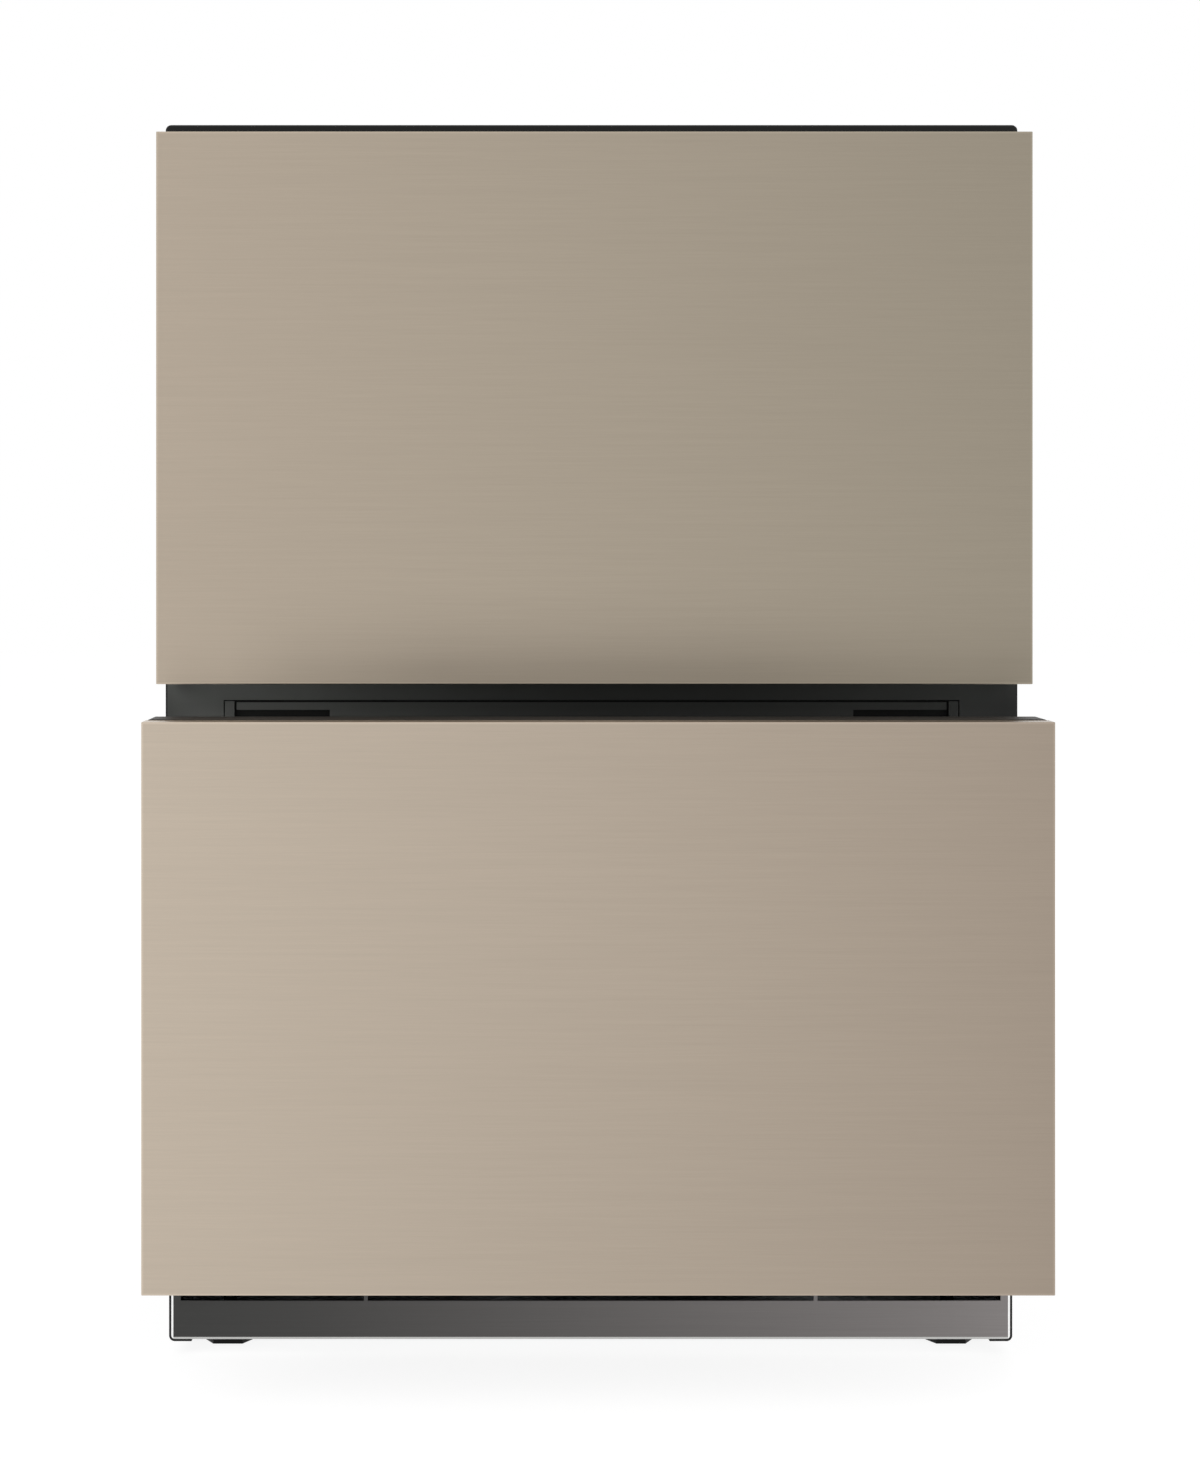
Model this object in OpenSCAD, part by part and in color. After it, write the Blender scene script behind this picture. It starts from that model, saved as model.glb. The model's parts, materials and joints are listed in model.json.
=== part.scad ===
// Undercounter refrigerator with two full-extension drawers.
// Front faces -Y, +Z is up. The origin is at the floor, under the middle of the whole box.

/* [Cabinet] */
// Width across the outer side skins
cab_w = 598; // [560:1:700]
// Depth of the cabinet behind its front plane
cab_d = 545; // [530:1:620]
// Height from the floor to the top skin
total_h = 869; // [850:1:920]
// Outer sheet thickness
skin_t = 1.2; // [0.8:0.1:1.6]
// Radius of the outer sheet's folded corners
skin_r = 4; // [3:0.5:8]
// Rear sheet thickness
back_t = 1.2; // [0.8:0.1:1.6]
// Foam thickness in the side walls
side_foam = 38; // [30:1:44]
// Foam thickness above the upper cavity
top_foam = 36.8; // [30:0.1:42]
// Foam thickness behind the cavities
back_foam = 40; // [34:1:46]
// Foam thickness under the lower cavity and round the machine bay
floor_foam = 33; // [28:1:40]
// Wall of the moulded cavity liners
liner_t = 2; // [1.5:0.1:2.5]
// Corner radius inside the cavities
cavity_r = 12; // [8:1:20]
// Height of the rail between the cavities
mullion_h = 50; // [46:1:60]
// Sheet of the front frame
frame_t = 2; // [1.5:0.1:2.5]

/* [Base] */
// Height of the insulated box's underside
base_h = 84; // [80:1:100]
// Set-back of the kick grille from the cabinet front
kick_setback = 19; // [14:1:30]
// Height of the kick grille's lower edge
kick_z = 11; // [11:0.5:16]
// Sheet of the kick grille
kick_t = 1.2; // [1:0.1:2]
// Side gap between the kick grille's pan and the outer skin
kick_gap = 0.2; // [0.2:0.1:4]
// Depth of the machine bay
bay_d = 175; // [168:1:190]
// Height of the machine bay's roof
bay_h = 237; // [230:1:250]
// Base pan sheet
pan_t = 1.8; // [1.5:0.1:2.5]
// Width of the skin's flange under the base pan
skin_flange = 16; // [12:1:24]
// Underside of the skin's flange
flange_z = 9.6; // [9:0.1:12]
// Distance of the feet from the side skins
foot_inset = 39; // [36:0.5:60]
// Radius of a foot's stud
stud_r = 5; // [4:0.5:6]
// Radius of a foot's hexagonal pad, over its corners
pad_r = 21; // [18:0.5:24]

/* [Drawer fronts] */
// How far the lower drawer stands open
lower_open = 75; // [0:1:120]
// Width of the front panels
panel_w = 596; // [556:1:700]
// Thickness of the front panels
panel_t = 20; // [16:1:24]
// Sheet of the front panels
panel_sheet = 1; // [0.8:0.1:1.5]
// Height of the lower panel's lower edge
panel_z = 84; // [80:1:100]
// Height of the lower panel
lower_panel_h = 374; // [360:1:390]
// Finger gap between the two panels
panel_gap = 21.2; // [18:0.1:28]
// Reveal between the upper panel and the cabinet top
top_reveal = 14; // [8:0.5:24]
// Thickness of the insulated door behind a panel
door_t = 34; // [30:1:40]
// Wall of the door's moulded frame
door_wall = 3; // [2.5:0.1:4]
// How far the door's frame stands in from the panel's edges
door_inset = 0.5; // [0.5:0.1:4]
// How far the door's frame stands above the panel's upper edge
door_rise = 0.5; // [0:0.1:2]
// Corner radius of the door's frame
door_r = 2.5; // [2:0.5:12]
// Height of the raised field on the door's inner face
plateau_h = 8; // [5:0.5:8]

/* [Seals] */
// Distance from a closed door to the cabinet front
seal_gap = 6; // [5:0.5:8]
// Width of a magnetic gasket
gasket_w = 10.5; // [9:0.5:11]
// Clearance of a soft gasket from the face it seals on
soft_gap = 0.3; // [0.3:0.05:0.5]

/* [Runners] */
// Length of the runner members
runner_l = 430; // [400:5:440]
// Drawer travel
travel = 400; // [340:5:400]
// Sheet of the runner members
runner_t = 1.2; // [1:0.1:1.4]
// Height of the fixed runner member
runner_h = 46; // [44:1:50]
// Running clearance of the glides
glide_gap = 0.1; // [0.05:0.05:0.2]
// Teeth on a synchronising pinion
pinion_teeth = 16; // [14:1:18]
// Gear module of racks and pinions
gear_m = 1.5; // [1.25:0.25:1.5]
// Radius of the synchronising shaft
shaft_r = 4; // [3:0.5:5]
// Radial running clearance of the shaft in its eyes
shaft_gap = 0.05; // [0.03:0.01:0.08]

/* [Tubs] */
// Wall of the moulded tubs
tub_t = 2.5; // [2:0.1:3.5]
// Clearance between the synchronising pinions and the evaporator cover
shaft_room = 12; // [8:1:30]
// Clearance between a tub's back and the synchronising pinions
tub_back_gap = 5.2; // [3:0.1:12]
// Height of the upper tub
upper_tub_h = 200; // [160:5:220]
// Height of the lower tub
lower_tub_h = 260; // [240:5:270]
// Corner radius of the tubs in plan
tub_r = 18; // [12:1:30]
// Clearance between a tub and the cavity floor
tub_floor_gap = 12; // [8:1:16]

/* [Hidden] */
$fn = 48;
eps = 0.01;

// Stations along Y
total_d = lower_open + panel_t + door_t + seal_gap + cab_d;
y_panel = -total_d / 2 + lower_open;
y_door = y_panel + panel_t;
y_door_back = y_door + door_t;
y_cab = y_door_back + seal_gap;
y_back = total_d / 2;
y_rear = y_back - back_t;
y_cavity = y_rear - back_foam - liner_t;
y_bay = y_rear - bay_d;
y_step = y_bay - floor_foam - liner_t;
y_kick = y_cab + kick_setback;

// Stations along X
cab_x = cab_w / 2;
skin_x = cab_x - skin_t;
cavity_x = skin_x - side_foam - liner_t;

// Stations along Z
upper_panel_z = panel_z + lower_panel_h + panel_gap;
upper_panel_h = total_h - top_reveal - upper_panel_z;
mullion_z = upper_panel_z - panel_gap / 2;
lower_z0 = base_h + floor_foam + liner_t;
lower_z1 = mullion_z - mullion_h / 2;
upper_z0 = mullion_z + mullion_h / 2;
upper_z1 = total_h - skin_t - top_foam - liner_t;
step_z = bay_h + floor_foam + liner_t;
pan_z = flange_z + skin_t;
pan_top = pan_z + pan_t;

// Runner section: distances in from the cavity wall
glide_h = 4.3;
mid_s = 2;
inner_s0 = 4.2;
inner_s1 = 11.9;
lip_s = 11.5;
bracket_t = 1.5;
mid_half = runner_h / 2 - runner_t - glide_gap - glide_h;
inner_half = mid_half - runner_t - glide_gap - glide_h - 0.3;
rim_v = runner_h / 2 + 1;
rim_t = 3;
rim_gap = 2;
runner_y = y_cab + 8;
tub_y = y_door_back + plateau_h + bracket_t + 0.5;
tub_x = cavity_x - inner_s1 - bracket_t - 0.3;
upper_tub_z = upper_z0 + tub_floor_gap;
lower_tub_z = lower_z0 + tub_floor_gap;
upper_runner_z = upper_tub_z + upper_tub_h - rim_v - rim_t;
lower_runner_z = lower_tub_z + lower_tub_h - rim_v - rim_t;
lower_tub_deep = y_step - tub_y - 11;

// Rack and pinion: stub teeth with a 20 degree flank
gear_rp = gear_m * pinion_teeth / 2;
gear_rb = gear_rp * cos(20);
gear_add = 0.87 * gear_m;
gear_ded = 1.13 * gear_m;
gear_play = 0.08;
gear_pitch = PI * gear_m;
pinion_v = -(runner_h / 2 + 1.5 + gear_rp + gear_add);
cover_y = y_cavity - 34;
pinion_y = cover_y - shaft_room - gear_rp - gear_add;
tub_d = pinion_y - gear_rp - gear_add - tub_back_gap - tub_y;
pinion_s0 = 1.2;
pinion_s1 = 8.4;
rack_w = 9;
rack_back = 5;
rack_y = pinion_y - travel - gear_rp;
rack_teeth = floor((travel + 2 * gear_rp) / gear_pitch);
eye_r = shaft_r + 6;

panel_tan = [0.66, 0.60, 0.53];
black_steel = [0.13, 0.13, 0.13];
black_plastic = [0.10, 0.10, 0.10];
liner_grey = [0.80, 0.81, 0.82];
zinc = [0.72, 0.73, 0.74];
stainless = [0.42, 0.41, 0.40];
copper = [0.72, 0.45, 0.30];
foam_cream = [0.93, 0.88, 0.70];

// A block between two corners
module block(x0, x1, y0, y1, z0, z1) {
    translate([x0, y0, z0]) cube([x1 - x0, y1 - y0, z1 - z0]);
}

// Extrudes an X-Z outline from y0 to y1
module along_y(y0, y1) {
    translate([0, y1, 0]) rotate([90, 0, 0]) linear_extrude(y1 - y0) children();
}

// Extrudes a Y-Z outline from x0 to x1
module along_x(x0, x1) {
    translate([x0, 0, 0]) rotate([90, 0, 90]) linear_extrude(x1 - x0) children();
}

// Copies a part on the left as the mirror image of the one on the right
module both_sides() {
    children();
    mirror([1, 0, 0]) children();
}

// Rectangle with round corners, symmetric about x = 0
module round_rect(half_w, z0, z1, r) {
    translate([-half_w + r, z0]) square([2 * (half_w - r), z1 - z0]);
    translate([-half_w, z0 + r]) square([2 * half_w, z1 - z0 - 2 * r]);
    for (sx = [-1, 1], z = [z0 + r, z1 - r]) translate([sx * (half_w - r), z]) circle(r);
}

// Slot with round ends, drawn between two corners
module round_slot(x0, x1, z0, z1) {
    r = (z1 - z0) / 2;
    translate([x0 + r, z0]) square([x1 - x0 - 2 * r, 2 * r]);
    for (x = [x0 + r, x1 - r]) translate([x, z0 + r]) circle(r);
}

// Turn that points +Z along a run d which is parallel to an axis
function along(d) =
    d.x != 0 ? [0, 90 * sign(d.x), 0]
    : d.y != 0 ? [-90 * sign(d.y), 0, 0]
    : [d.z < 0 ? 180 : 0, 0, 0];

// Tube along points that are joined by straight runs parallel to the axes
module pipe(points, r) {
    for (i = [0 : len(points) - 2]) {
        run = points[i + 1] - points[i];
        translate(points[i]) rotate(along(run)) cylinder(r = r, h = norm(run), $fn = 24);
    }
    for (i = [1 : len(points) - 2]) translate(points[i]) sphere(r, $fn = 24);
}

// ---- cabinet ----

module skin_outline(inset) {
    round_rect(cab_x - inset, flange_z + inset, total_h - inset, skin_r - inset);
}

module outer_shell() {
    color(black_steel) difference() {
        along_y(y_cab, y_rear) difference() {
            skin_outline(0);
            skin_outline(skin_t);
            translate([-(cab_x - skin_flange), 0])
                square([2 * (cab_x - skin_flange), flange_z + 2 * skin_t]);
        }
        block(-cab_w, cab_w, y_cab - 1, y_kick, 0, notch_z);
        counter_holes(skin_t + 1);
    }
}

notch_z = base_h - 6;
counter_hole_x = 210;
counter_hole_y = [y_cab + 45, y_cab + 105];
counter_hole_r = 2.5;

// Screw holes in the top for the brackets that tie the cabinet to a counter
module counter_holes(depth, extra = 0) {
    for (sx = [-1, 1], y = counter_hole_y)
        translate([sx * counter_hole_x, y, total_h - depth])
            cylinder(r = counter_hole_r + extra, h = depth + 1);
}

module cavity(z0, z1, grow) {
    along_y(y_cab, y_cavity + grow) round_rect(cavity_x + grow, z0 - grow, z1 + grow, cavity_r + grow);
}

// Lower cavity: full depth above the machine bay's step, shorter below it
module lower_cavity(grow) {
    difference() {
        cavity(lower_z0, lower_z1, grow);
        block(-cab_w, cab_w, y_step + grow, y_back, 0, step_z - grow);
    }
}

module tube_holes() {
    pipe(suction_path, line_r + 0.1);
    pipe(drain_path, drain_r + 0.3);
}

duct_half = 70;
duct_t = 2;
duct_y = [cover_y + 5, y_cavity - 3];
duct_cells = 5;

// Hole for the air duct between the two cavities
module duct_hole() {
    block(-duct_half, duct_half, duct_y[0], duct_y[1], lower_z1 - 1, upper_z0 + 1);
}

module insulation() {
    color(foam_cream) difference() {
        along_y(y_cab + frame_t, y_rear) difference() {
            skin_outline(skin_t);
            translate([-cab_w, 0]) square([2 * cab_w, base_h + plate_t]);
        }
        cavity(upper_z0, upper_z1, liner_t);
        lower_cavity(liner_t);
        block(-cab_w, cab_w, y_bay - plate_t, y_back + 1, 0, bay_h + plate_t);
        block(-mullion_x, mullion_x, y_cab, y_cab + mullion_t, mullion_z0, mullion_z1);
        counter_holes(skin_t + 25, 1);
        tube_holes();
        duct_hole();
    }
}

plate_t = 1;

// One folded sheet under the foam and round the machine bay
module bottom_plate() {
    color(zinc) difference() {
        along_x(-skin_x, skin_x) {
            translate([y_cab + frame_t, base_h]) square([y_bay - y_cab - frame_t, plate_t]);
            translate([y_bay - plate_t, base_h]) square([plate_t, bay_h + plate_t - base_h]);
            translate([y_bay - plate_t, bay_h]) square([y_rear - y_bay + plate_t, plate_t]);
            translate([y_rear - plate_t, bay_h - plate_flange]) square([plate_t, plate_flange]);
        }
        tube_holes();
        rear_holes(flange_z, bay_h - cover_gap, 2);
    }
}

plate_flange = 22;
rear_screw_r = 2.2;
rear_screw_in = 12;
rear_columns = 4;
cover_gap = 0.5;

// Screw holes round the border of a rear sheet that reaches from z0 to z1
module rear_holes(z0, z1, rows) {
    step_x = 2 * (cab_x - rear_screw_in) / (rear_columns - 1);
    row_h = (z1 - z0 - 2 * rear_screw_in) / (rows - 1);
    for (i = [0 : rear_columns - 1], k = [0 : rows - 1])
        if (i % (rear_columns - 1) == 0 || k % (rows - 1) == 0)
            translate([-cab_x + rear_screw_in + i * step_x, y_rear - 2, z0 + rear_screw_in + k * row_h])
                rotate([-90, 0, 0]) cylinder(r = rear_screw_r, h = back_t + 3);
}

module back_cover() {
    color(zinc) difference() {
        along_y(y_rear, y_back) round_rect(cab_x, bay_h, total_h, skin_r);
        rear_holes(bay_h, total_h, 5);
    }
}

bay_louvres = 9;
louvre_pitch = 18;
louvre_h = 6;
louvre_z = 50;
louvre_x = [50, 250];

module machine_bay_cover() {
    color(zinc) difference() {
        along_y(y_rear, y_back) difference() {
            round_rect(cab_x, flange_z, bay_h - cover_gap, skin_r);
            for (m = [0, 1], i = [0 : bay_louvres - 1]) mirror([m, 0])
                translate([0, louvre_z + louvre_pitch * i]) round_slot(louvre_x[0], louvre_x[1], 0, louvre_h);
        }
        rear_holes(flange_z, bay_h - cover_gap, 2);
    }
}

module upper_liner() {
    color(liner_grey) difference() {
        along_y(y_cab + frame_t, y_cavity + liner_t)
            round_rect(cavity_x + liner_t, upper_z0 - liner_t, upper_z1 + liner_t, cavity_r + liner_t);
        cavity(upper_z0, upper_z1, 0);
        tube_holes();
        duct_hole();
    }
}

module lower_liner() {
    color(liner_grey) difference() {
        intersection() {
            lower_cavity(liner_t);
            block(-cab_w, cab_w, y_cab + frame_t, y_back, 0, total_h);
        }
        lower_cavity(0);
        duct_hole();
    }
}

mullion_x = cavity_x + 0.5;
mullion_t = 5;
mullion_z0 = mullion_z - 23;
mullion_z1 = mullion_z - 3.3;
mullion_gap = 0.8;

module face_frame() {
    color(black_steel) along_y(y_cab, y_cab + frame_t) difference() {
        round_rect(skin_x, base_h, total_h - skin_t, skin_r - skin_t);
        round_rect(cavity_x, upper_z0, upper_z1, cavity_r);
        round_rect(cavity_x, lower_z0, lower_z1, cavity_r);
        translate([-mullion_x, mullion_z0]) square([2 * mullion_x, mullion_z1 - mullion_z0]);
    }
}

strip_x = mullion_x - 7.5;
strip_t = 2;
strip_gap = 1.6;
strip_z0 = mullion_z0 + 1;
strip_z1 = mullion_z1 - strip_gap;
vent_x = strip_x - 67;
vent_z1 = mullion_z - 10.2;
vent_floor = 1;

// Moulded cover in the rail: a recess for the strip, and deeper air pockets at both ends of it
module mullion_cover() {
    color(black_plastic) difference() {
        block(-mullion_x + mullion_gap, mullion_x - mullion_gap, y_cab, y_cab + mullion_t,
            mullion_z0, mullion_z1 - mullion_gap);
        block(-strip_x, strip_x, y_cab - 1, y_cab + strip_t, mullion_z0 - 1, mullion_z1 + 1);
        both_sides() block(vent_x, strip_x, y_cab - 1, y_cab + mullion_t - vent_floor, strip_z0 + 1, vent_z1);
    }
}

// Strip in front of the cover, notched at its lower corners to let air out of the pockets
module mullion_strip() {
    color(black_plastic) difference() {
        block(-strip_x + strip_gap, strip_x - strip_gap, y_cab, y_cab + strip_t, strip_z0, strip_z1);
        both_sides() block(vent_x, strip_x, y_cab - 1, y_cab + strip_t + 1, strip_z0 - 1, vent_z1);
    }
}

kick_x = cab_x - skin_t - kick_gap;
kick_z1 = base_h;
kick_depth = 14;
kick_r = max(0.5, skin_r - skin_t - kick_gap);
kick_rib = 3;
slot_x = [158, kick_x - 7];
slot_h = 6;
slot_z = 38.5;
slot_rows = 4;
slot_step = 10;

module kick_slots() {
    for (i = [0 : slot_rows - 1]) {
        z = slot_z + slot_step * i;
        block(-slot_x[0], slot_x[0], y_kick - 1, y_kick + kick_t + 1, z, z + slot_h);
        both_sides() block(slot_x[0] + kick_rib, slot_x[1], y_kick - 1, y_kick + kick_t + 1, z, z + slot_h);
    }
}

module kick_outline(inset) {
    round_rect(kick_x - inset, kick_z + inset, kick_z1 - inset, max(0.3, kick_r - inset));
}

// Shallow pan with slots in its face
module kick_grille() {
    color(stainless) difference() {
        along_y(y_kick, y_kick + kick_depth) kick_outline(0);
        along_y(y_kick + kick_t, y_kick + kick_depth + 1) kick_outline(kick_t);
        kick_slots();
    }
}

foot_x = cab_x - foot_inset;
foot_y = [y_cab + 64, y_back - 45];

module at_feet() {
    for (sx = [-1, 1], y = foot_y) translate([sx * foot_x, y, 0]) children();
}

pan_y = y_kick + kick_depth;
pan_x = skin_x - skin_r + skin_t;
pan_lip = 20;

module base_pan() {
    color(zinc) difference() {
        block(-pan_x, pan_x, pan_y, y_rear, pan_z, pan_z + pan_lip);
        block(-pan_x + pan_t, pan_x - pan_t, pan_y + pan_t, y_rear - pan_t, pan_top, total_h);
        at_feet() translate([0, 0, pan_z - 1]) cylinder(r = stud_r + 0.05, h = pan_t + 2);
    }
}

foot_pad_h = 7;
foot_stud_h = 31;

// Hexagonal pad that a spanner turns, with a collar and a stud through the base pan
module levelling_feet() {
    color(black_plastic) at_feet() {
        cylinder(r = pad_r, h = foot_pad_h, $fn = 6);
        rotate_extrude() polygon([
            [0, foot_pad_h - 1], [stud_r * 1.8, foot_pad_h - 1], [stud_r * 1.8, pan_z - 1.4],
            [stud_r, pan_z - 0.4], [stud_r, foot_stud_h - 1], [stud_r - 1, foot_stud_h], [0, foot_stud_h]
        ]);
    }
}

module foot_lock_nuts() {
    color(zinc) at_feet() translate([0, 0, pan_top]) difference() {
        cylinder(r = stud_r * 1.9, h = 5, $fn = 6);
        translate([0, 0, -1]) cylinder(r = stud_r + 0.05, h = 8);
    }
}

// ---- machine bay ----

comp_x = 120;
comp_y = y_bay + 85;
comp_r = 60;
comp_z = pan_top + 9;
comp_h = 138;
grommet_d = 46;

module at_grommets() {
    for (sx = [-1, 1], sy = [-1, 1])
        translate([comp_x + sx * grommet_d, comp_y + sy * grommet_d, pan_top]) children();
}

module compressor() {
    color(black_plastic) difference() {
        union() {
            translate([comp_x, comp_y, comp_z + 2]) rotate_extrude() polygon([
                [0, 0], [comp_r - 22, 0], [comp_r - 9, 6], [comp_r - 2, 18], [comp_r - 2, 70],
                [comp_r + 3, 70], [comp_r + 3, 76], [comp_r - 3, 76], [comp_r - 3, 108], [comp_r - 10, 124],
                [comp_r - 26, 134], [0, comp_h]
            ]);
            block(comp_x - grommet_d - 12, comp_x + grommet_d + 12, comp_y - grommet_d - 12,
                comp_y + grommet_d + 12, comp_z, comp_z + 3);
            block(comp_x - comp_r - 12, comp_x, comp_y - 18, comp_y + 18, comp_z + 30, comp_z + 68);
        }
        at_grommets() cylinder(r = 5.3, h = 30);
        pipe([suction_port, suction_port + [40, 0, 0]], line_r + 0.05);
        pipe([discharge_port, discharge_port + [0, 30, 0]], discharge_r + 0.05);
    }
}

module compressor_grommets() {
    color([0.2, 0.2, 0.2]) at_grommets() {
        cylinder(r = 10, h = comp_z - pan_top);
        cylinder(r = 5, h = comp_z - pan_top + 3);
    }
}

// Flat serpentine in the X-Z plane: straight passes joined by half-round bends
module serpentine(x0, x1, y, z0, passes, pitch, r) {
    for (i = [0 : passes - 1])
        translate([x0, y, z0 + i * pitch]) rotate([0, 90, 0]) cylinder(r = r, h = x1 - x0, $fn = 20);
    for (i = [0 : passes - 2])
        translate([i % 2 == 0 ? x1 : x0, y, z0 + (i + 0.5) * pitch]) rotate([90, 0, 0])
            rotate([0, 0, i % 2 == 0 ? -90 : 90]) rotate_extrude(angle = 180, $fn = 32)
                translate([pitch / 2, 0]) circle(r, $fn = 20);
}

cond_x = [-skin_x + 72.8, -80];
cond_row = 35;
cond_y = [y_bay + 40, y_bay + 40 + cond_row, y_bay + 40 + 2 * cond_row];
cond_z = 44;
cond_passes = 7;
cond_pitch = 15;
cond_top = cond_z + (cond_passes - 1) * cond_pitch;
discharge_z = 172;
discharge_r = 2.5;
suction_port = [comp_x + comp_r - 5, comp_y, comp_z + 60];
discharge_port = [comp_x - 30, comp_y + 40, comp_z + 90];

// Half-round bend that joins two rows of the condenser
module row_bend(x, row, z, side) {
    translate([x, cond_y[row] + cond_row / 2, z]) rotate([0, 0, side > 0 ? -90 : 90])
        rotate_extrude(angle = 180, $fn = 32) translate([cond_row / 2, 0]) circle(discharge_r, $fn = 20);
}

module condenser_coil() {
    color(black_plastic) {
        for (y = cond_y) serpentine(cond_x[0], cond_x[1], y, cond_z, cond_passes, cond_pitch, discharge_r);
        row_bend(cond_x[0], 1, cond_z, -1);
        row_bend(cond_x[1], 0, cond_top, 1);
        for (x = [cond_x[0] + 12, cond_x[1] - 13])
            block(x, x + 1.2, cond_y[0] - 8, cond_y[2] + 8, pan_top, cond_top + cond_pitch);
    }
}

shroud_x = -42;
fan_y = comp_y;
fan_z = 95;
fan_r = 56;

module condenser_shroud() {
    color(black_plastic) difference() {
        union() {
            block(shroud_x, shroud_x + 2.5, y_bay + 6, y_rear - 8, pan_top, fan_z + fan_r + 14);
            translate([shroud_x - 14, fan_y, fan_z]) rotate([0, 90, 0]) cylinder(r = fan_r + 5, h = 14 + eps);
        }
        translate([shroud_x - 15, fan_y, fan_z]) rotate([0, 90, 0]) cylinder(r = fan_r + 3, h = 40);
    }
}

// Axial rotor about +Z: hub with a bore, and pitched blades
module rotor(hub_r, tip_r, h, blades, bore_r) {
    difference() {
        union() {
            cylinder(r = hub_r, h = h);
            intersection() {
                difference() {
                    cylinder(r = tip_r, h = h);
                    translate([0, 0, -1]) cylinder(r = hub_r - 1, h = h + 2);
                }
                for (i = [0 : blades - 1]) rotate([0, 0, i * 360 / blades])
                    translate([0, 0, h / 2]) rotate([32, 0, 0])
                        translate([0, -tip_r * 0.34, -0.9]) cube([tip_r, tip_r * 0.68, 1.8]);
            }
        }
        translate([0, 0, -1]) cylinder(r = bore_r, h = h + 2);
    }
}

// Fan motor about +Z: can, three arms out to the shroud and a shaft on +Z
module motor(can_r, can_h, arm_r, arm_t, shaft_l) {
    cylinder(r = can_r, h = can_h);
    for (a = [90, 210, 330]) rotate([0, 0, a]) translate([0, -5, can_h - arm_t]) cube([arm_r, 10, arm_t]);
    cylinder(r = 1.5, h = can_h + shaft_l);
}

module condenser_fan_motor() {
    color(black_plastic) translate([shroud_x + 2.5 + 30, fan_y, fan_z]) rotate([0, -90, 0])
        motor(18, 30, fan_r + 9, 3, 18);
}

module condenser_fan() {
    color([0.25, 0.25, 0.27]) translate([shroud_x + 1.5, fan_y, fan_z]) rotate([0, -90, 0])
        rotor(13, fan_r, 14, 5, 1.55);
}

tray_z = comp_z + 2 + comp_h;

module drip_tray() {
    color(liner_grey) translate([comp_x, comp_y, tray_z]) difference() {
        linear_extrude(24) square([150, 130], center = true);
        translate([0, 0, 2]) linear_extrude(30) square([146, 126], center = true);
    }
}

module drain_tube() {
    drop = [drain_x, drain_y, tray_z + 12];
    color(liner_grey) difference() {
        pipe(concat([drop], drain_path), drain_r);
        pipe(concat([drop - [0, 0, 1]], drain_path), drain_r - 1.5);
        translate(drain_path[3] - [0, 1, 0]) rotate([-90, 0, 0]) cylinder(r = drain_r - 1.5, h = 10);
    }
}

control_w = 55;
control_y = [y_bay + 20, y_bay + 140];
control_z = [bay_h - 71, bay_h - 11];
socket_in = 10;
socket_h = 32;

// Housing of the control board, with its socket strip at the rear
module control_box() {
    color(black_plastic) {
        block(-skin_x, -skin_x + control_w, control_y[0], control_y[1], control_z[0], control_z[1]);
        block(-skin_x + socket_in, -skin_x + control_w - socket_in, control_y[1], control_y[1] + 6,
            control_z[0] + 14, control_z[0] + 14 + socket_h);
    }
}

drier_r = 9;
drier_l = 70;
drier_neck = 6;
drier_end = 8;
drier_at = [cond_x[0] + 75, y_bay + 20, 60];

module filter_drier() {
    color(copper) {
        translate(drier_at) rotate([0, 90, 0]) rotate_extrude() polygon([
            [0, -drier_neck - drier_end], [3, -drier_neck - drier_end], [3, -drier_neck], [drier_r, 0],
            [drier_r, drier_l], [3, drier_l + drier_neck], [3, drier_l + drier_neck + drier_end],
            [0, drier_l + drier_neck + drier_end]
        ]);
        translate([drier_at.x + drier_l / 2 - 5, drier_at.y - 4, pan_top])
            cube([10, 8, drier_at.z - drier_r / 2 - pan_top]);
    }
}

discharge_y = comp_y + 70;
discharge_x = cond_x[1] + 9;
liquid_x = cond_x[0] - 11;
capillary_r = 1.2;
capillary_x = drier_at.x + drier_l + drier_neck + 2 * drier_end;
suction_run = 33;

module refrigerant_lines() {
    joint_x = (line_x + suction_port.x + suction_run) / 2;
    color(copper) {
        pipe(concat([suction_port, suction_port + [suction_run, 0, 0]],
            [suction_port + [suction_run, 0, line_z - suction_port.z]], suction_path), line_r);
        pipe([
            discharge_port, [discharge_port.x, discharge_y, discharge_port.z],
            [discharge_port.x, discharge_y, discharge_z], [discharge_x, discharge_y, discharge_z],
            [discharge_x, cond_y[2], discharge_z], [discharge_x, cond_y[2], cond_top],
            [cond_x[1], cond_y[2], cond_top]
        ], discharge_r);
        pipe([
            [cond_x[0], cond_y[0], cond_z], [liquid_x, cond_y[0], cond_z], [liquid_x, drier_at.y, cond_z],
            [liquid_x, drier_at.y, drier_at.z],
            [drier_at.x - drier_neck - drier_end, drier_at.y, drier_at.z]
        ], discharge_r);
        pipe([
            [drier_at.x + drier_l + drier_neck + drier_end, drier_at.y, drier_at.z],
            [capillary_x, drier_at.y, drier_at.z], [capillary_x, drier_at.y, line_z],
            [joint_x, drier_at.y, line_z], [joint_x, comp_y, line_z]
        ], capillary_r);
    }
}

// ---- cold air ----

cover_x = 200;
evap_x = 150;
evap_y = [y_cavity - 22, y_cavity - 10];
evap_z = upper_z0 + 45;
evap_passes = 7;
evap_pitch = 18;

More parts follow.
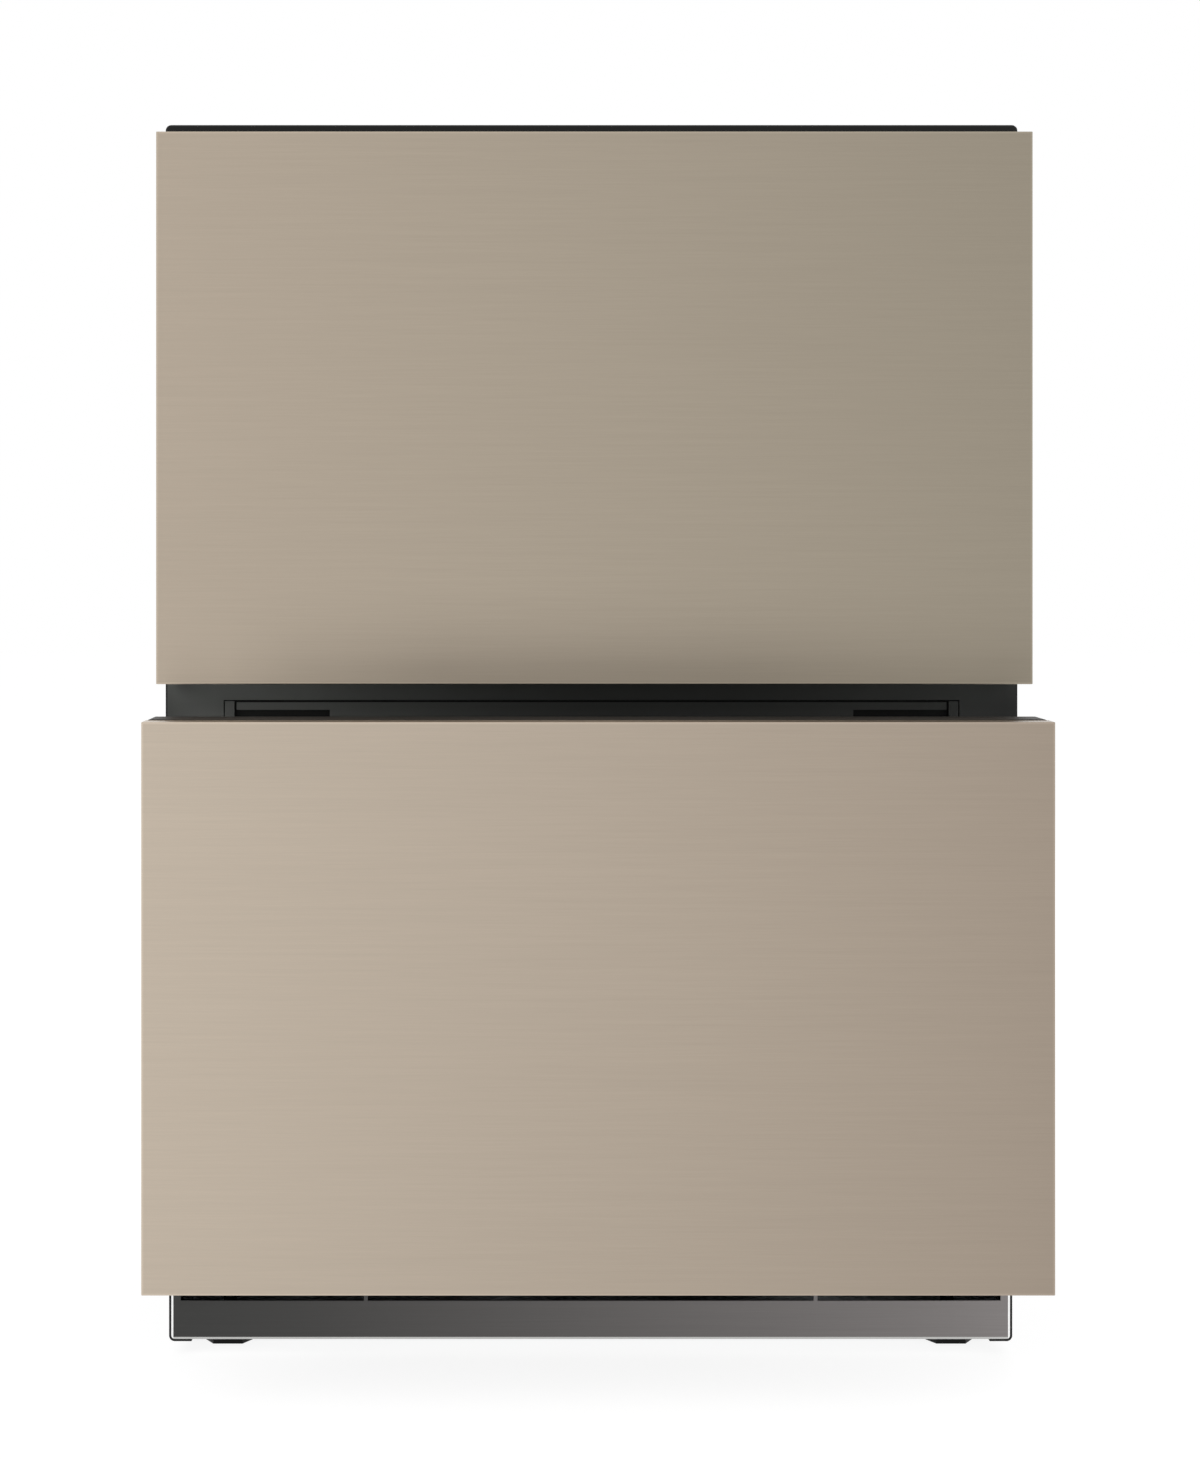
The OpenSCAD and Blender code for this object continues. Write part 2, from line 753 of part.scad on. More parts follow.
// Tubes between the machine bay and the evaporator
line_r = 3.2;
line_x = 170;
line_z = bay_h - 15;
riser_y = y_rear - 18;
suction_end = [evap_x, evap_y[1], evap_z + (evap_passes - 1) * evap_pitch];
suction_path = [
    [line_x, comp_y, line_z], [line_x, riser_y, line_z], [line_x, riser_y, suction_end.z],
    [line_x, suction_end.y, suction_end.z], suction_end
];
drain_r = 7;
drain_x = 60;
drain_y = comp_y + 45;
drain_z = bay_h - 25;
sump_z = upper_z0 + 14;
drain_path = [
    [drain_x, drain_y, drain_z], [drain_x, riser_y, drain_z], [drain_x, riser_y, sump_z],
    [drain_x, y_cavity - 4, sump_z]
];

module evaporator_coil() {
    color([0.8, 0.8, 0.82]) {
        for (y = evap_y) serpentine(-evap_x, evap_x, y, evap_z, evap_passes, evap_pitch, 3);
        for (i = [-5 : 5])
            block(i * 27 - 0.4, i * 27 + 0.4, evap_y[0] - 7, y_cavity,
                evap_z - 10, evap_z + evap_passes * evap_pitch - 8);
    }
}

evap_fan_z = upper_z1 - 70;
evap_fan_r = 44;
guard_pitch = 12;
return_pitch = 20;

module evaporator_cover() {
    color(liner_grey) difference() {
        along_y(cover_y, y_cavity) round_rect(cover_x, upper_z0, upper_z1 - 4, cavity_r);
        along_y(cover_y + 2, y_cavity + 1) round_rect(cover_x - 2, upper_z0 + 2, upper_z1 - 6, cavity_r - 2);
        along_y(cover_y - 1, cover_y + 3) {
            for (i = [-3 : 3]) {
                half = sqrt(pow(evap_fan_r, 2) - pow(i * guard_pitch, 2));
                translate([0, evap_fan_z + guard_pitch * i]) round_slot(-half, half, -3, 3);
            }
            for (i = [-8 : 8]) translate([return_pitch * i, upper_z0 + 10]) round_slot(-7, 7, 0, 6);
        }
        block(-duct_half + duct_t, duct_half - duct_t, duct_y[0] + duct_t, duct_y[1] - duct_t,
            upper_z0 - 1, upper_z0 + 3);
    }
}

// Moulded channel with webs that feeds cold air down through the rail
module air_duct() {
    cell = (2 * duct_half - duct_t) / duct_cells;
    color(liner_grey) difference() {
        block(-duct_half, duct_half, duct_y[0], duct_y[1], lower_z1, upper_z0);
        for (i = [0 : duct_cells - 1])
            block(-duct_half + duct_t + i * cell, -duct_half + (i + 1) * cell,
                duct_y[0] + duct_t, duct_y[1] - duct_t, lower_z1 - 1, upper_z0 + 1);
    }
}

module evaporator_fan_motor() {
    color(black_plastic) translate([0, y_cavity, evap_fan_z]) rotate([90, 0, 0]) {
        cylinder(r = 16, h = 14);
        cylinder(r = 1.5, h = 28);
    }
}

module evaporator_fan() {
    color([0.25, 0.25, 0.27]) translate([0, y_cavity - 14.6, evap_fan_z]) rotate([90, 0, 0])
        rotor(12, evap_fan_r, 12, 5, 1.55);
}

lamp_half = 120;
lamp_d = 18;
lamp_h = 7;
lamp_y = y_cab + 14;

// Diffuser with a sloping rear face, under a cavity's ceiling at z
module light_bar(z) {
    color([0.95, 0.95, 0.92]) along_x(-lamp_half, lamp_half) polygon([
        [lamp_y, z], [lamp_y, z - lamp_h + 1], [lamp_y + 1, z - lamp_h], [lamp_y + lamp_d - 5, z - lamp_h],
        [lamp_y + lamp_d, z - 2], [lamp_y + lamp_d, z]
    ]);
}

module upper_light_bar() { light_bar(upper_z1); }

module lower_light_bar() { light_bar(lower_z1); }

// ---- runners ----

// Channel section that opens towards the drawer, with lips on its flanges
module channel(s0, s1, half, lip) {
    difference() {
        translate([s0, -half]) square([s1 - s0, 2 * half]);
        translate([s0 + runner_t, -half + runner_t]) square([s1 - s0, 2 * (half - runner_t)]);
    }
    for (m = [0, 1]) mirror([0, m])
        translate([s1 - runner_t, half - runner_t - lip]) square([runner_t, lip + eps]);
}

// Places a runner section, drawn as distance from the wall and height, on both cavity walls
module on_walls(y0, y1, z) {
    both_sides() along_y(y0, y1) translate([cavity_x, z]) mirror([1, 0]) children();
}

module outer_runners(z) {
    color(zinc) on_walls(runner_y, runner_y + runner_l, z) channel(0, lip_s, runner_h / 2, 1.2);
}

module mid_runners(z) {
    color(zinc) on_walls(runner_y, runner_y + runner_l, z) channel(mid_s, lip_s, mid_half, 1.2);
}

module inner_runners(z) {
    color(zinc) on_walls(runner_y, runner_y + runner_l, z) difference() {
        translate([inner_s0, -inner_half]) square([inner_s1 - inner_s0, 2 * inner_half]);
        translate([inner_s0 - eps, -inner_half + runner_t])
            square([inner_s1 - inner_s0 - runner_t, 2 * (inner_half - runner_t)]);
    }
}

glide_l = 34;

// Nylon shoes on the middle member: outer ones at its rear, inner ones at its front
module glides(z) {
    color([0.9, 0.9, 0.88]) {
        on_walls(runner_y + runner_l - glide_l - 6, runner_y + runner_l - 6, z)
            for (m = [0, 1]) mirror([0, m]) translate([mid_s, mid_half]) square([7.6, glide_h]);
        on_walls(runner_y + 6, runner_y + 6 + glide_l, z)
            for (m = [0, 1]) mirror([0, m])
                translate([inner_s0, inner_half + glide_gap])
                    square([5.6, mid_half - runner_t - inner_half - glide_gap]);
    }
}

module upper_outer_runners() { outer_runners(upper_runner_z); }

module lower_outer_runners() { outer_runners(lower_runner_z); }

module upper_mid_runners() { mid_runners(upper_runner_z); }

module lower_mid_runners() { translate([0, -lower_open / 2, 0]) mid_runners(lower_runner_z); }

module upper_glides() { glides(upper_runner_z); }

module lower_glides() { translate([0, -lower_open / 2, 0]) glides(lower_runner_z); }

module upper_inner_runners() { inner_runners(upper_runner_z); }

module lower_inner_runners() { translate([0, -lower_open, 0]) inner_runners(lower_runner_z); }

// Involute function of the pressure angle at radius r, in degrees
function inv(r) = let (a = acos(min(1, gear_rb / r))) tan(a) * 180 / PI - a;
// Half of a pinion tooth's angle at radius r
function half_tooth(r) = 90 / pinion_teeth + inv(gear_rp) - inv(r) - gear_play / gear_rp * 180 / PI;
function polar(r, a) = [r * cos(a), r * sin(a)];

flank_steps = 4;
gear_rf = gear_rp - gear_ded;
flank_r0 = max(gear_rf, gear_rb);
function flank_r(k) = flank_r0 + (gear_rp + gear_add - flank_r0) * k / flank_steps;

// Pinion outline, with the middle of a gap pointing along -Y of the drawing
module pinion_outline() {
    step = 360 / pinion_teeth;
    polygon([for (i = [0 : pinion_teeth - 1]) let (c = -90 + step * (i + 0.5)) each concat(
        [polar(gear_rf, c - half_tooth(flank_r0) - 1)],
        [for (k = [0 : flank_steps]) polar(flank_r(k), c - half_tooth(flank_r(k)))],
        [for (k = [flank_steps : -1 : 0]) polar(flank_r(k), c + half_tooth(flank_r(k)))],
        [polar(gear_rf, c + half_tooth(flank_r0) + 1)]
    )]);
}

// Rack outline with its teeth up, its pitch line at v and tooth k centred at rack_y + (k + 0.5) pitches
module rack_outline(v) {
    tip = gear_pitch / 4 - gear_play - gear_add * tan(20);
    root = gear_pitch / 4 - gear_play + gear_ded * tan(20);
    foot = v - gear_ded;
    end_y = rack_y + rack_teeth * gear_pitch;
    polygon(concat(
        [[rack_y, foot - rack_back], [rack_y, foot]],
        [for (k = [0 : rack_teeth - 1]) let (c = rack_y + (k + 0.5) * gear_pitch) each [
            [c - root, foot], [c - tip, v + gear_add], [c + tip, v + gear_add], [c + root, foot]
        ]],
        [[end_y, foot], [end_y, foot - rack_back]]
    ));
}

module racks(z) {
    color(liner_grey) both_sides()
        along_x(cavity_x - rack_w, cavity_x) rack_outline(z + pinion_v - gear_rp);
}

// Shaft with a pinion at each end, turned so that its teeth mesh with the racks
module sync_shaft(z, open) {
    phase = -(pinion_y - open - rack_y - gear_pitch / 2) / gear_rp * 180 / PI;
    translate([0, pinion_y - open, z + pinion_v]) {
        color(zinc) along_x(-cavity_x + pinion_s1 - eps, cavity_x - pinion_s1 + eps) circle(shaft_r);
        color(black_plastic) both_sides() {
            along_x(cavity_x - pinion_s1, cavity_x - pinion_s0) rotate(phase) pinion_outline();
            along_x(cavity_x - inner_s1 + 0.4, cavity_x - pinion_s1 + eps) circle(shaft_r + 3);
        }
    }
}

module upper_racks() { racks(upper_runner_z); }

module lower_racks() { racks(lower_runner_z); }

module upper_sync_shaft() { sync_shaft(upper_runner_z, 0); }

module lower_sync_shaft() { sync_shaft(lower_runner_z, lower_open); }

// ---- drawers ----

bracket_flange = 28;
bracket_v = [-inner_half - 3, rim_v];
bracket_y = y_door_back + plateau_h;
bracket_drop = 70;

// Side plate from the door to the rear eye that carries the synchronising shaft
module side_bracket(z) {
    difference() {
        union() {
            along_x(cavity_x - inner_s1 - bracket_t, cavity_x - inner_s1) translate([0, z]) {
                translate([bracket_y, bracket_v[0]])
                    square([pinion_y + eye_r - bracket_y, bracket_v[1] - bracket_v[0]]);
                translate([pinion_y - eye_r, pinion_v]) square([2 * eye_r, bracket_v[0] - pinion_v]);
                translate([pinion_y, pinion_v]) circle(eye_r);
                translate([bracket_y, -bracket_drop]) square([60, bracket_drop]);
            }
            block(cavity_x - inner_s1 - bracket_flange, cavity_x - inner_s1 - bracket_t + eps,
                bracket_y, bracket_y + bracket_t, z - bracket_drop, z + bracket_v[1]);
        }
        translate([cavity_x - inner_s1 - bracket_t - 1, pinion_y, z + pinion_v]) rotate([0, 90, 0])
            cylinder(r = shaft_r + shaft_gap, h = bracket_t + 2);
    }
}

module side_brackets(z) {
    color(zinc) both_sides() side_bracket(z);
}

module upper_side_brackets() { side_brackets(upper_runner_z); }

module lower_side_brackets() { translate([0, -lower_open, 0]) side_brackets(lower_runner_z); }

// Plan of a tub's inside, moved out by grow
module tub_plan(deep, grow) {
    in = tub_t - grow;
    round_rect(tub_x - in, tub_y + in, tub_y + deep - in, tub_r - in);
}

// Inside of a tub, moved out by grow, with a shallow rear part above its step
module tub_body(z, h, deep, step, grow) {
    over = grow > 0 ? 0 : 1;
    translate([0, 0, z - grow]) linear_extrude(h + grow + over) tub_plan(deep, grow);
    if (step > 0)
        translate([0, 0, z + step - grow]) linear_extrude(h - step + grow + over) tub_plan(tub_d, grow);
}

module tub(z, h, deep, step) {
    color([0.85, 0.87, 0.88]) difference() {
        union() {
            tub_body(z + tub_t, h - tub_t, deep, step, tub_t);
            translate([0, 0, z + h - rim_t]) linear_extrude(rim_t)
                round_rect(cavity_x - rim_gap, tub_y, tub_y + tub_d, tub_r);
        }
        tub_body(z + tub_t, h - tub_t, deep, step, 0);
    }
}

module upper_tub() { tub(upper_tub_z, upper_tub_h, tub_d, 0); }

module lower_tub() {
    translate([0, -lower_open, 0])
        tub(lower_tub_z, lower_tub_h, lower_tub_deep, step_z + tub_floor_gap - lower_tub_z);
}

// Folded sheet front with returns, open at the back for its core
module panel_skin(z, h) {
    color(panel_tan) difference() {
        block(-panel_w / 2, panel_w / 2, y_panel, y_door, z, z + h);
        block(-panel_w / 2 + panel_sheet, panel_w / 2 - panel_sheet, y_panel + panel_sheet, y_door + 1,
            z + panel_sheet, z + h - panel_sheet);
    }
}

module panel_core(z, h) {
    color([0.5, 0.4, 0.3]) block(-panel_w / 2 + panel_sheet, panel_w / 2 - panel_sheet,
        y_panel + panel_sheet, y_door, z + panel_sheet, z + h - panel_sheet);
}

// Outline of the door behind the panel whose lower edge is at z
module door_outline(z, inset) {
    h = z == panel_z ? lower_panel_h : upper_panel_h;
    round_rect(panel_w / 2 - door_inset - inset, z + door_inset + inset, z + h + door_rise - inset,
        max(1, door_r - inset));
}

module door_frame(z) {
    color(black_plastic) difference() {
        along_y(y_door, y_door_back) door_outline(z, 0);
        along_y(y_door + door_wall, y_door_back + 1) door_outline(z, door_wall);
    }
}

door_liner_t = 3;
plateau_in = inner_s1 + bracket_t + 4;
boss_w = 6.4;
groove_w = 4;
barb_w = 3.4;

module door_foam(z) {
    color(foam_cream) difference() {
        union() {
            along_y(y_door + door_wall, y_door_back - door_liner_t) door_outline(z, door_wall);
            along_y(y_door_back - door_liner_t - eps, y_door_back + plateau_h - door_liner_t)
                mouth_outline(z, -plateau_in - door_liner_t);
        }
        gasket_ring(z, boss_w, y_door_back - 7, y_door_back);
    }
}

// Ring that follows the cavity's mouth: the outline is the cavity's, moved out by the seal's margin
seal_margin = 1.5;

module mouth_outline(z, grow) {
    z0 = z == panel_z ? lower_z0 : upper_z0;
    z1 = z == panel_z ? lower_z1 : upper_z1;
    round_rect(cavity_x + grow, z0 - grow, z1 + grow, max(4, cavity_r + grow));
}

module gasket_ring(z, w, y0, y1) {
    mid = seal_margin + gasket_w / 2;
    along_y(y0, y1) difference() {
        mouth_outline(z, mid + w / 2);
        mouth_outline(z, mid - w / 2);
    }
}

module door_liner(z) {
    color(liner_grey) difference() {
        union() {
            along_y(y_door_back - door_liner_t, y_door_back) door_outline(z, door_wall);
            along_y(y_door_back - eps, y_door_back + plateau_h) mouth_outline(z, -plateau_in);
            gasket_ring(z, boss_w, y_door_back - 7, y_door_back);
        }
        along_y(y_door_back - door_liner_t - 1, y_door_back + plateau_h - door_liner_t)
            mouth_outline(z, -plateau_in - door_liner_t);
        gasket_ring(z, groove_w, y_door_back - 5.5, y_door_back + 1);
    }
}

module gasket(z) {
    color([0.15, 0.15, 0.15]) {
        difference() {
            gasket_ring(z, gasket_w, y_door_back, y_cab - soft_gap);
            gasket_ring(z, gasket_w - 5, y_door_back + 1.5, y_cab - soft_gap - 2.2);
        }
        gasket_ring(z, barb_w, y_door_back - 5, y_door_back + eps);
    }
}

module upper_panel_skin() { panel_skin(upper_panel_z, upper_panel_h); }

module upper_panel_core() { panel_core(upper_panel_z, upper_panel_h); }

module upper_door_frame() { door_frame(upper_panel_z); }

module upper_door_foam() { door_foam(upper_panel_z); }

module upper_door_liner() { door_liner(upper_panel_z); }

module upper_gasket() { gasket(upper_panel_z); }

module lower_panel_skin() { translate([0, -lower_open, 0]) panel_skin(panel_z, lower_panel_h); }

module lower_panel_core() { translate([0, -lower_open, 0]) panel_core(panel_z, lower_panel_h); }

module lower_door_frame() { translate([0, -lower_open, 0]) door_frame(panel_z); }

module lower_door_foam() { translate([0, -lower_open, 0]) door_foam(panel_z); }

module lower_door_liner() { translate([0, -lower_open, 0]) door_liner(panel_z); }

module lower_gasket() { translate([0, -lower_open, 0]) gasket(panel_z); }

outer_shell();
insulation();
back_cover();
machine_bay_cover();
upper_liner();
lower_liner();
face_frame();
mullion_cover();
mullion_strip();
kick_grille();
base_pan();
bottom_plate();
levelling_feet();
foot_lock_nuts();
compressor();
compressor_grommets();
condenser_coil();
condenser_shroud();
condenser_fan_motor();
condenser_fan();
drip_tray();
drain_tube();
control_box();
filter_drier();
refrigerant_lines();
evaporator_coil();
evaporator_cover();
evaporator_fan_motor();
evaporator_fan();
air_duct();
upper_light_bar();
lower_light_bar();
upper_outer_runners();
lower_outer_runners();
upper_racks();
lower_racks();
upper_mid_runners();
upper_glides();
lower_mid_runners();
lower_glides();
upper_panel_skin();
upper_panel_core();
upper_door_frame();
upper_door_foam();
upper_door_liner();
upper_gasket();
upper_inner_runners();
upper_side_brackets();
upper_tub();
upper_sync_shaft();
lower_panel_skin();
lower_panel_core();
lower_door_frame();
lower_door_foam();
lower_door_liner();
lower_gasket();
lower_inner_runners();
lower_side_brackets();
lower_tub();
lower_sync_shaft();
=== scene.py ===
"""Looks of the undercounter drawer refrigerator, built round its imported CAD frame."""

from __future__ import annotations

import json
import logging
import math
from collections.abc import Iterable, Sequence
from dataclasses import dataclass
from enum import Enum

import bmesh
import bpy
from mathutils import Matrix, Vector


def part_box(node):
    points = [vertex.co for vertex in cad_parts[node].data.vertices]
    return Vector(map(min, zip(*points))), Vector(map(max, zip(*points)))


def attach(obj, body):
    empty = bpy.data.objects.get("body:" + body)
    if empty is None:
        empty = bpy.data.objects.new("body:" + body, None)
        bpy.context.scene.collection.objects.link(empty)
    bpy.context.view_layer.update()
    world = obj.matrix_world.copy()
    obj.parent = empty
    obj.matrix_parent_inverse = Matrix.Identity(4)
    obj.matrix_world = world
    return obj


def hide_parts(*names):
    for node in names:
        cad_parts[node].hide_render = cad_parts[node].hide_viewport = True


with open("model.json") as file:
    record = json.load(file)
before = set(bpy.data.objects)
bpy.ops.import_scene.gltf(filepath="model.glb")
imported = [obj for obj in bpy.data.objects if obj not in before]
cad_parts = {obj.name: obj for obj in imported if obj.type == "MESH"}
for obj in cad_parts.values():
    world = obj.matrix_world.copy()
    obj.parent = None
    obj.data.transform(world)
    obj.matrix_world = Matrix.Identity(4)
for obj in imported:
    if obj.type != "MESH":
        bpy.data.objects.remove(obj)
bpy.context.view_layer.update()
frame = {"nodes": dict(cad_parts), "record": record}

LOG = logging.getLogger("refrigerator")
MM = 0.001
UP = (0.0, 0.0, 1.0)
BACKWARDS = (0.0, 1.0, 0.0)
FORWARDS = (0.0, -1.0, 0.0)
Colour = tuple[float, float, float]
Point = tuple[float, float, float]
Profile = tuple[tuple[float, float], ...]
Socket = bpy.types.NodeSocket


def srgb(red: float, green: float, blue: float) -> Colour:
    """Turns a display colour into the linear one that shaders use.

    Args:
        red: Red, 0 to 255.
        green: Green, 0 to 255.
        blue: Blue, 0 to 255.

    Returns:
        The linear colour.
    """

    def linear(value: float) -> float:
        """Linear value of one channel."""
        part = value / 255.0
        return part / 12.92 if part <= 0.04045 else ((part + 0.055) / 1.055) ** 2.4

    return linear(red), linear(green), linear(blue)


@dataclass(frozen=True)
class Noise:
    """A noise pattern: its features per metre on each axis, its detail and its roughness."""

    x: float
    y: float
    z: float
    detail: float = 2.0
    rough: float = 0.5


def even(per_metre: float, detail: float = 2.0, rough: float = 0.5) -> Noise:
    """A noise pattern that is the same on every axis."""
    return Noise(per_metre, per_metre, per_metre, detail, rough)


class Recipe:
    """A procedural material that is put together node by node on Object coordinates."""

    def __init__(self, name: str) -> None:
        """Starts a material with a plain principled shader.

        Args:
            name: The material's name.
        """
        self.material = bpy.data.materials.new(name)
        self.material.use_nodes = True
        self.tree = self.material.node_tree
        self.shader = self.tree.nodes["Principled BSDF"]
        self.coords = self.tree.nodes.new("ShaderNodeTexCoord").outputs["Object"]

    def node(self, kind: str, inputs: dict[str | int, object],
             **settings: object) -> bpy.types.Node:
        """Adds a node.

        Args:
            kind: The node's type.
            inputs: Sockets to link or values to set, by input name or number.
            **settings: Properties of the node.

        Returns:
            The new node.
        """
        made = self.tree.nodes.new(kind)
        for key, value in settings.items():
            setattr(made, key, value)
        for key, value in inputs.items():
            if isinstance(value, Socket):
                self.tree.links.new(value, made.inputs[key])
            else:
                made.inputs[key].default_value = value
        return made

    def noise(self, pattern: Noise) -> Socket:
        """Noise between 0 and 1.

        Args:
            pattern: How fine and how detailed it is.

        Returns:
            Its value.
        """
        scale = (pattern.x, pattern.y, pattern.z)
        stretched = self.node("ShaderNodeMapping", {"Vector": self.coords, "Scale": scale})
        made = self.node(
            "ShaderNodeTexNoise",
            {"Vector": stretched.outputs[0], "Scale": 1.0, "Detail": pattern.detail,
             "Roughness": pattern.rough},
        )
        return made.outputs["Fac"]

    def cells(self, per_metre: float, output: str = "Distance") -> Socket:
        """Voronoi cells, so many per metre."""
        inputs = {"Vector": self.coords, "Scale": per_metre}
        return self.node("ShaderNodeTexVoronoi", inputs).outputs[output]

    def axis(self, name: str) -> Socket:
        """One Object coordinate, in metres: X, Y or Z."""
        return self.node("ShaderNodeSeparateXYZ", {0: self.coords}).outputs[name]

    def span(self, value: Socket, low: float, high: float, to_low: float,
             to_high: float) -> Socket:
        """Maps a value from one range to another, clamped.

        Args:
            value: The value.
            low: Start of its range.
            high: End of its range.
            to_low: Result at the start.
            to_high: Result at the end.

        Returns:
            The result.
        """
        inputs = {"Value": value, "From Min": low, "From Max": high, "To Min": to_low,
                  "To Max": to_high}
        return self.node("ShaderNodeMapRange", inputs).outputs["Result"]

    def profile(self, value: Socket, stops: Profile) -> Socket:
        """Follows straight lines between stops.

        Args:
            value: What the stops are measured along.
            stops: A value and its result each, from the lowest value to the highest.

        Returns:
            The result between the stops, level beyond them.
        """
        low, high = stops[0][0], stops[-1][0]
        ramp = self.node("ShaderNodeValToRGB", {0: self.span(value, low, high, 0.0, 1.0)})
        marks = ramp.color_ramp.elements
        while len(marks) < len(stops):
            marks.new(0.5)
        for mark, (at, result) in zip(marks, stops):
            mark.position = (at - low) / (high - low)
            mark.color = (result, result, result, 1.0)
        return self.node("ShaderNodeSeparateColor", {0: ramp.outputs[0]}).outputs[0]

    def maths(self, operation: str, first: object, second: object = 0.0) -> Socket:
        """Result of one sum on one or two values."""
        return self.node("ShaderNodeMath", {0: first, 1: second}, operation=operation).outputs[0]

    def plus(self, first: object, second: object) -> Socket:
        """Two values added."""
        return self.maths("ADD", first, second)

    def minus(self, first: object, second: object) -> Socket:
        """The second value taken from the first."""
        return self.maths("SUBTRACT", first, second)

    def times(self, first: object, second: object) -> Socket:
        """Two values multiplied."""
        return self.maths("MULTIPLY", first, second)

    def blend(self, factor: Socket, first: object, second: object) -> Socket:
        """Mixes two colours.

        Args:
            factor: How much of the second colour shows.
            first: The first colour, linked or fixed.
            second: The second colour, linked or fixed.

        Returns:
            The mixed colour.
        """
        made = self.tree.nodes.new("ShaderNodeMix")
        made.data_type = "RGBA"
        self.tree.links.new(factor, made.inputs["Factor"])
        for socket, value in ((made.inputs[6], first), (made.inputs[7], second)):
            if isinstance(value, Socket):
                self.tree.links.new(value, socket)
            else:
                socket.default_value = (*value, 1.0)
        return made.outputs[2]

    def shaded(self, colour: Socket, factor: Socket) -> Socket:
        """A colour times a number."""
        inputs = {0: colour, "Scale": factor}
        return self.node("ShaderNodeVectorMath", inputs, operation="SCALE").outputs[0]

    def colour(self, value: Socket) -> None:
        """Links the base colour."""
        self.tree.links.new(value, self.shader.inputs["Base Color"])

    def roughness(self, value: Socket) -> None:
        """Links the roughness."""
        self.tree.links.new(value, self.shader.inputs["Roughness"])

    def bump(self, height: Socket, depth: float, strength: float) -> None:
        """Raises the surface by a height map.

        Args:
            height: The map.
            depth: Its full height in metres.
            strength: How much of it is used.
        """
        inputs = {"Height": height, "Distance": depth, "Strength": strength}
        made = self.node("ShaderNodeBump", inputs)
        self.tree.links.new(made.outputs[0], self.shader.inputs["Normal"])

    def plain(self, **values: float) -> None:
        """Sets the shader's own sockets; an underscore stands for a space."""
        for key, value in values.items():
            self.shader.inputs[key.replace("_", " ")].default_value = value


@dataclass(frozen=True)
class BrushedSteel:
    """Stainless sheet with a fine horizontal grain and a painted sheen falling off from left to
    right.

    On a panel, painted shade darkens it by height and shade_sides says how far that goes at each
    place across, and a painted highlight makes the folds round its face lighter.
    """

    name: str
    left: Colour
    right: Colour
    half_width: float
    grain: float = 0.035
    gloss: tuple[float, float] = (0.30, 0.42)
    curve: float = 1.0
    panel: str = ""
    shade: Profile = ()
    shade_sides: Profile = ()
    hem_width: float = 1.6 * MM
    hem_highlight: float = 0.16
    clouding: float = 0.008
    grain_depth: float = 0.01 * MM
    grain_strength: float = 0.35
    pull: float = 0.55

    FINE = Noise(22.0, 200.0, 1500.0, 2.0, 0.6)
    BROAD = Noise(5.0, 60.0, 420.0, 3.0, 0.6)
    CLOUDS = Noise(2.2, 2.2, 2.8)
    QUARTER_TURN = 0.25

    def tint(self, steel: Recipe) -> Socket:
        """Colour of the sheet before its grain, with painted light that changes from left to
        right.
        """
        across = steel.span(steel.axis("X"), -self.half_width, self.half_width, 0.0, 1.0)
        return steel.blend(steel.maths("POWER", across, self.curve), self.left, self.right)

    def hem_highlight_mask(self, steel: Recipe) -> Socket:
        """Finds the folds round a panel's face, where a highlight is painted.

        Args:
            steel: The material in the making.

        Returns:
            One at the folds, and nought between them.
        """
        low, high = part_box(self.panel)
        middle = (low.z + high.z) / 2
        aside = steel.maths("ABSOLUTE", steel.axis("X"))
        rise = steel.maths("ABSOLUTE", steel.minus(steel.axis("Z"), middle))
        out = steel.minus(aside, high.x - self.hem_width)
        over = steel.minus(rise, high.z - middle - self.hem_width)
        return steel.span(steel.maths("MAXIMUM", out, over), 0.0, 0.5 * self.hem_width, 0.0, 1.0)

    def make(self) -> bpy.types.Material:
        """Builds the material.

        Returns:
            The material.
        """
        steel = Recipe(self.name)
        fine = steel.noise(self.FINE)
        half = 0.5 * self.grain
        grain = steel.plus(steel.span(fine, 0.25, 0.75, 1.0 - self.grain, 1.0 + self.grain),
                           steel.span(steel.noise(self.BROAD), 0.3, 0.7, -half, half))
        clouds = steel.span(steel.noise(self.CLOUDS), 0.3, 0.7, -self.clouding, self.clouding)
        grain = steel.plus(grain, clouds)
        if self.panel:
            # Painted shade by height and place across, and a painted highlight on the folds round
            # the face
            painted_shade = steel.times(steel.profile(steel.axis("Z"), self.shade),
                               steel.profile(steel.axis("X"), self.shade_sides))
            grain = steel.times(grain, steel.minus(1.0, painted_shade))
            grain = steel.plus(grain, steel.times(self.hem_highlight_mask(steel), self.hem_highlight))
        steel.colour(steel.shaded(self.tint(steel), grain))
        steel.roughness(steel.span(fine, 0.2, 0.8, *self.gloss))
        steel.bump(fine, self.grain_depth, self.grain_strength)
        steel.plain(Metallic=1.0, Anisotropic=self.pull, Anisotropic_Rotation=self.QUARTER_TURN)
        return steel.material


@dataclass(frozen=True)
class GrilleSteel(BrushedSteel):
    """Brushed sheet with painted highlights on its side folds and lower fold."""

    fold_x: float = 296.0 * MM
    fold_z: float = 12.6 * MM
    # Colours of the painted highlights on the folds
    side_fold_highlight: Colour = srgb(252, 252, 251)
    lower_fold_highlight: Colour = srgb(196, 196, 194)

    def tint(self, steel: Recipe) -> Socket:
        """Colour of the sheet before its grain, with painted highlights on the folds.

        Args:
            steel: The material in the making.

        Returns:
            The colour.
        """
        face = super().tint(steel)
        # Painted highlights on the side folds and on the lower fold
        aside = steel.maths("ABSOLUTE", steel.axis("X"))
        beside = steel.maths("GREATER_THAN", aside, self.fold_x)
        below = steel.maths("LESS_THAN", steel.axis("Z"), self.fold_z)
        return steel.blend(beside, steel.blend(below, face, self.lower_fold_highlight), self.side_fold_highlight)


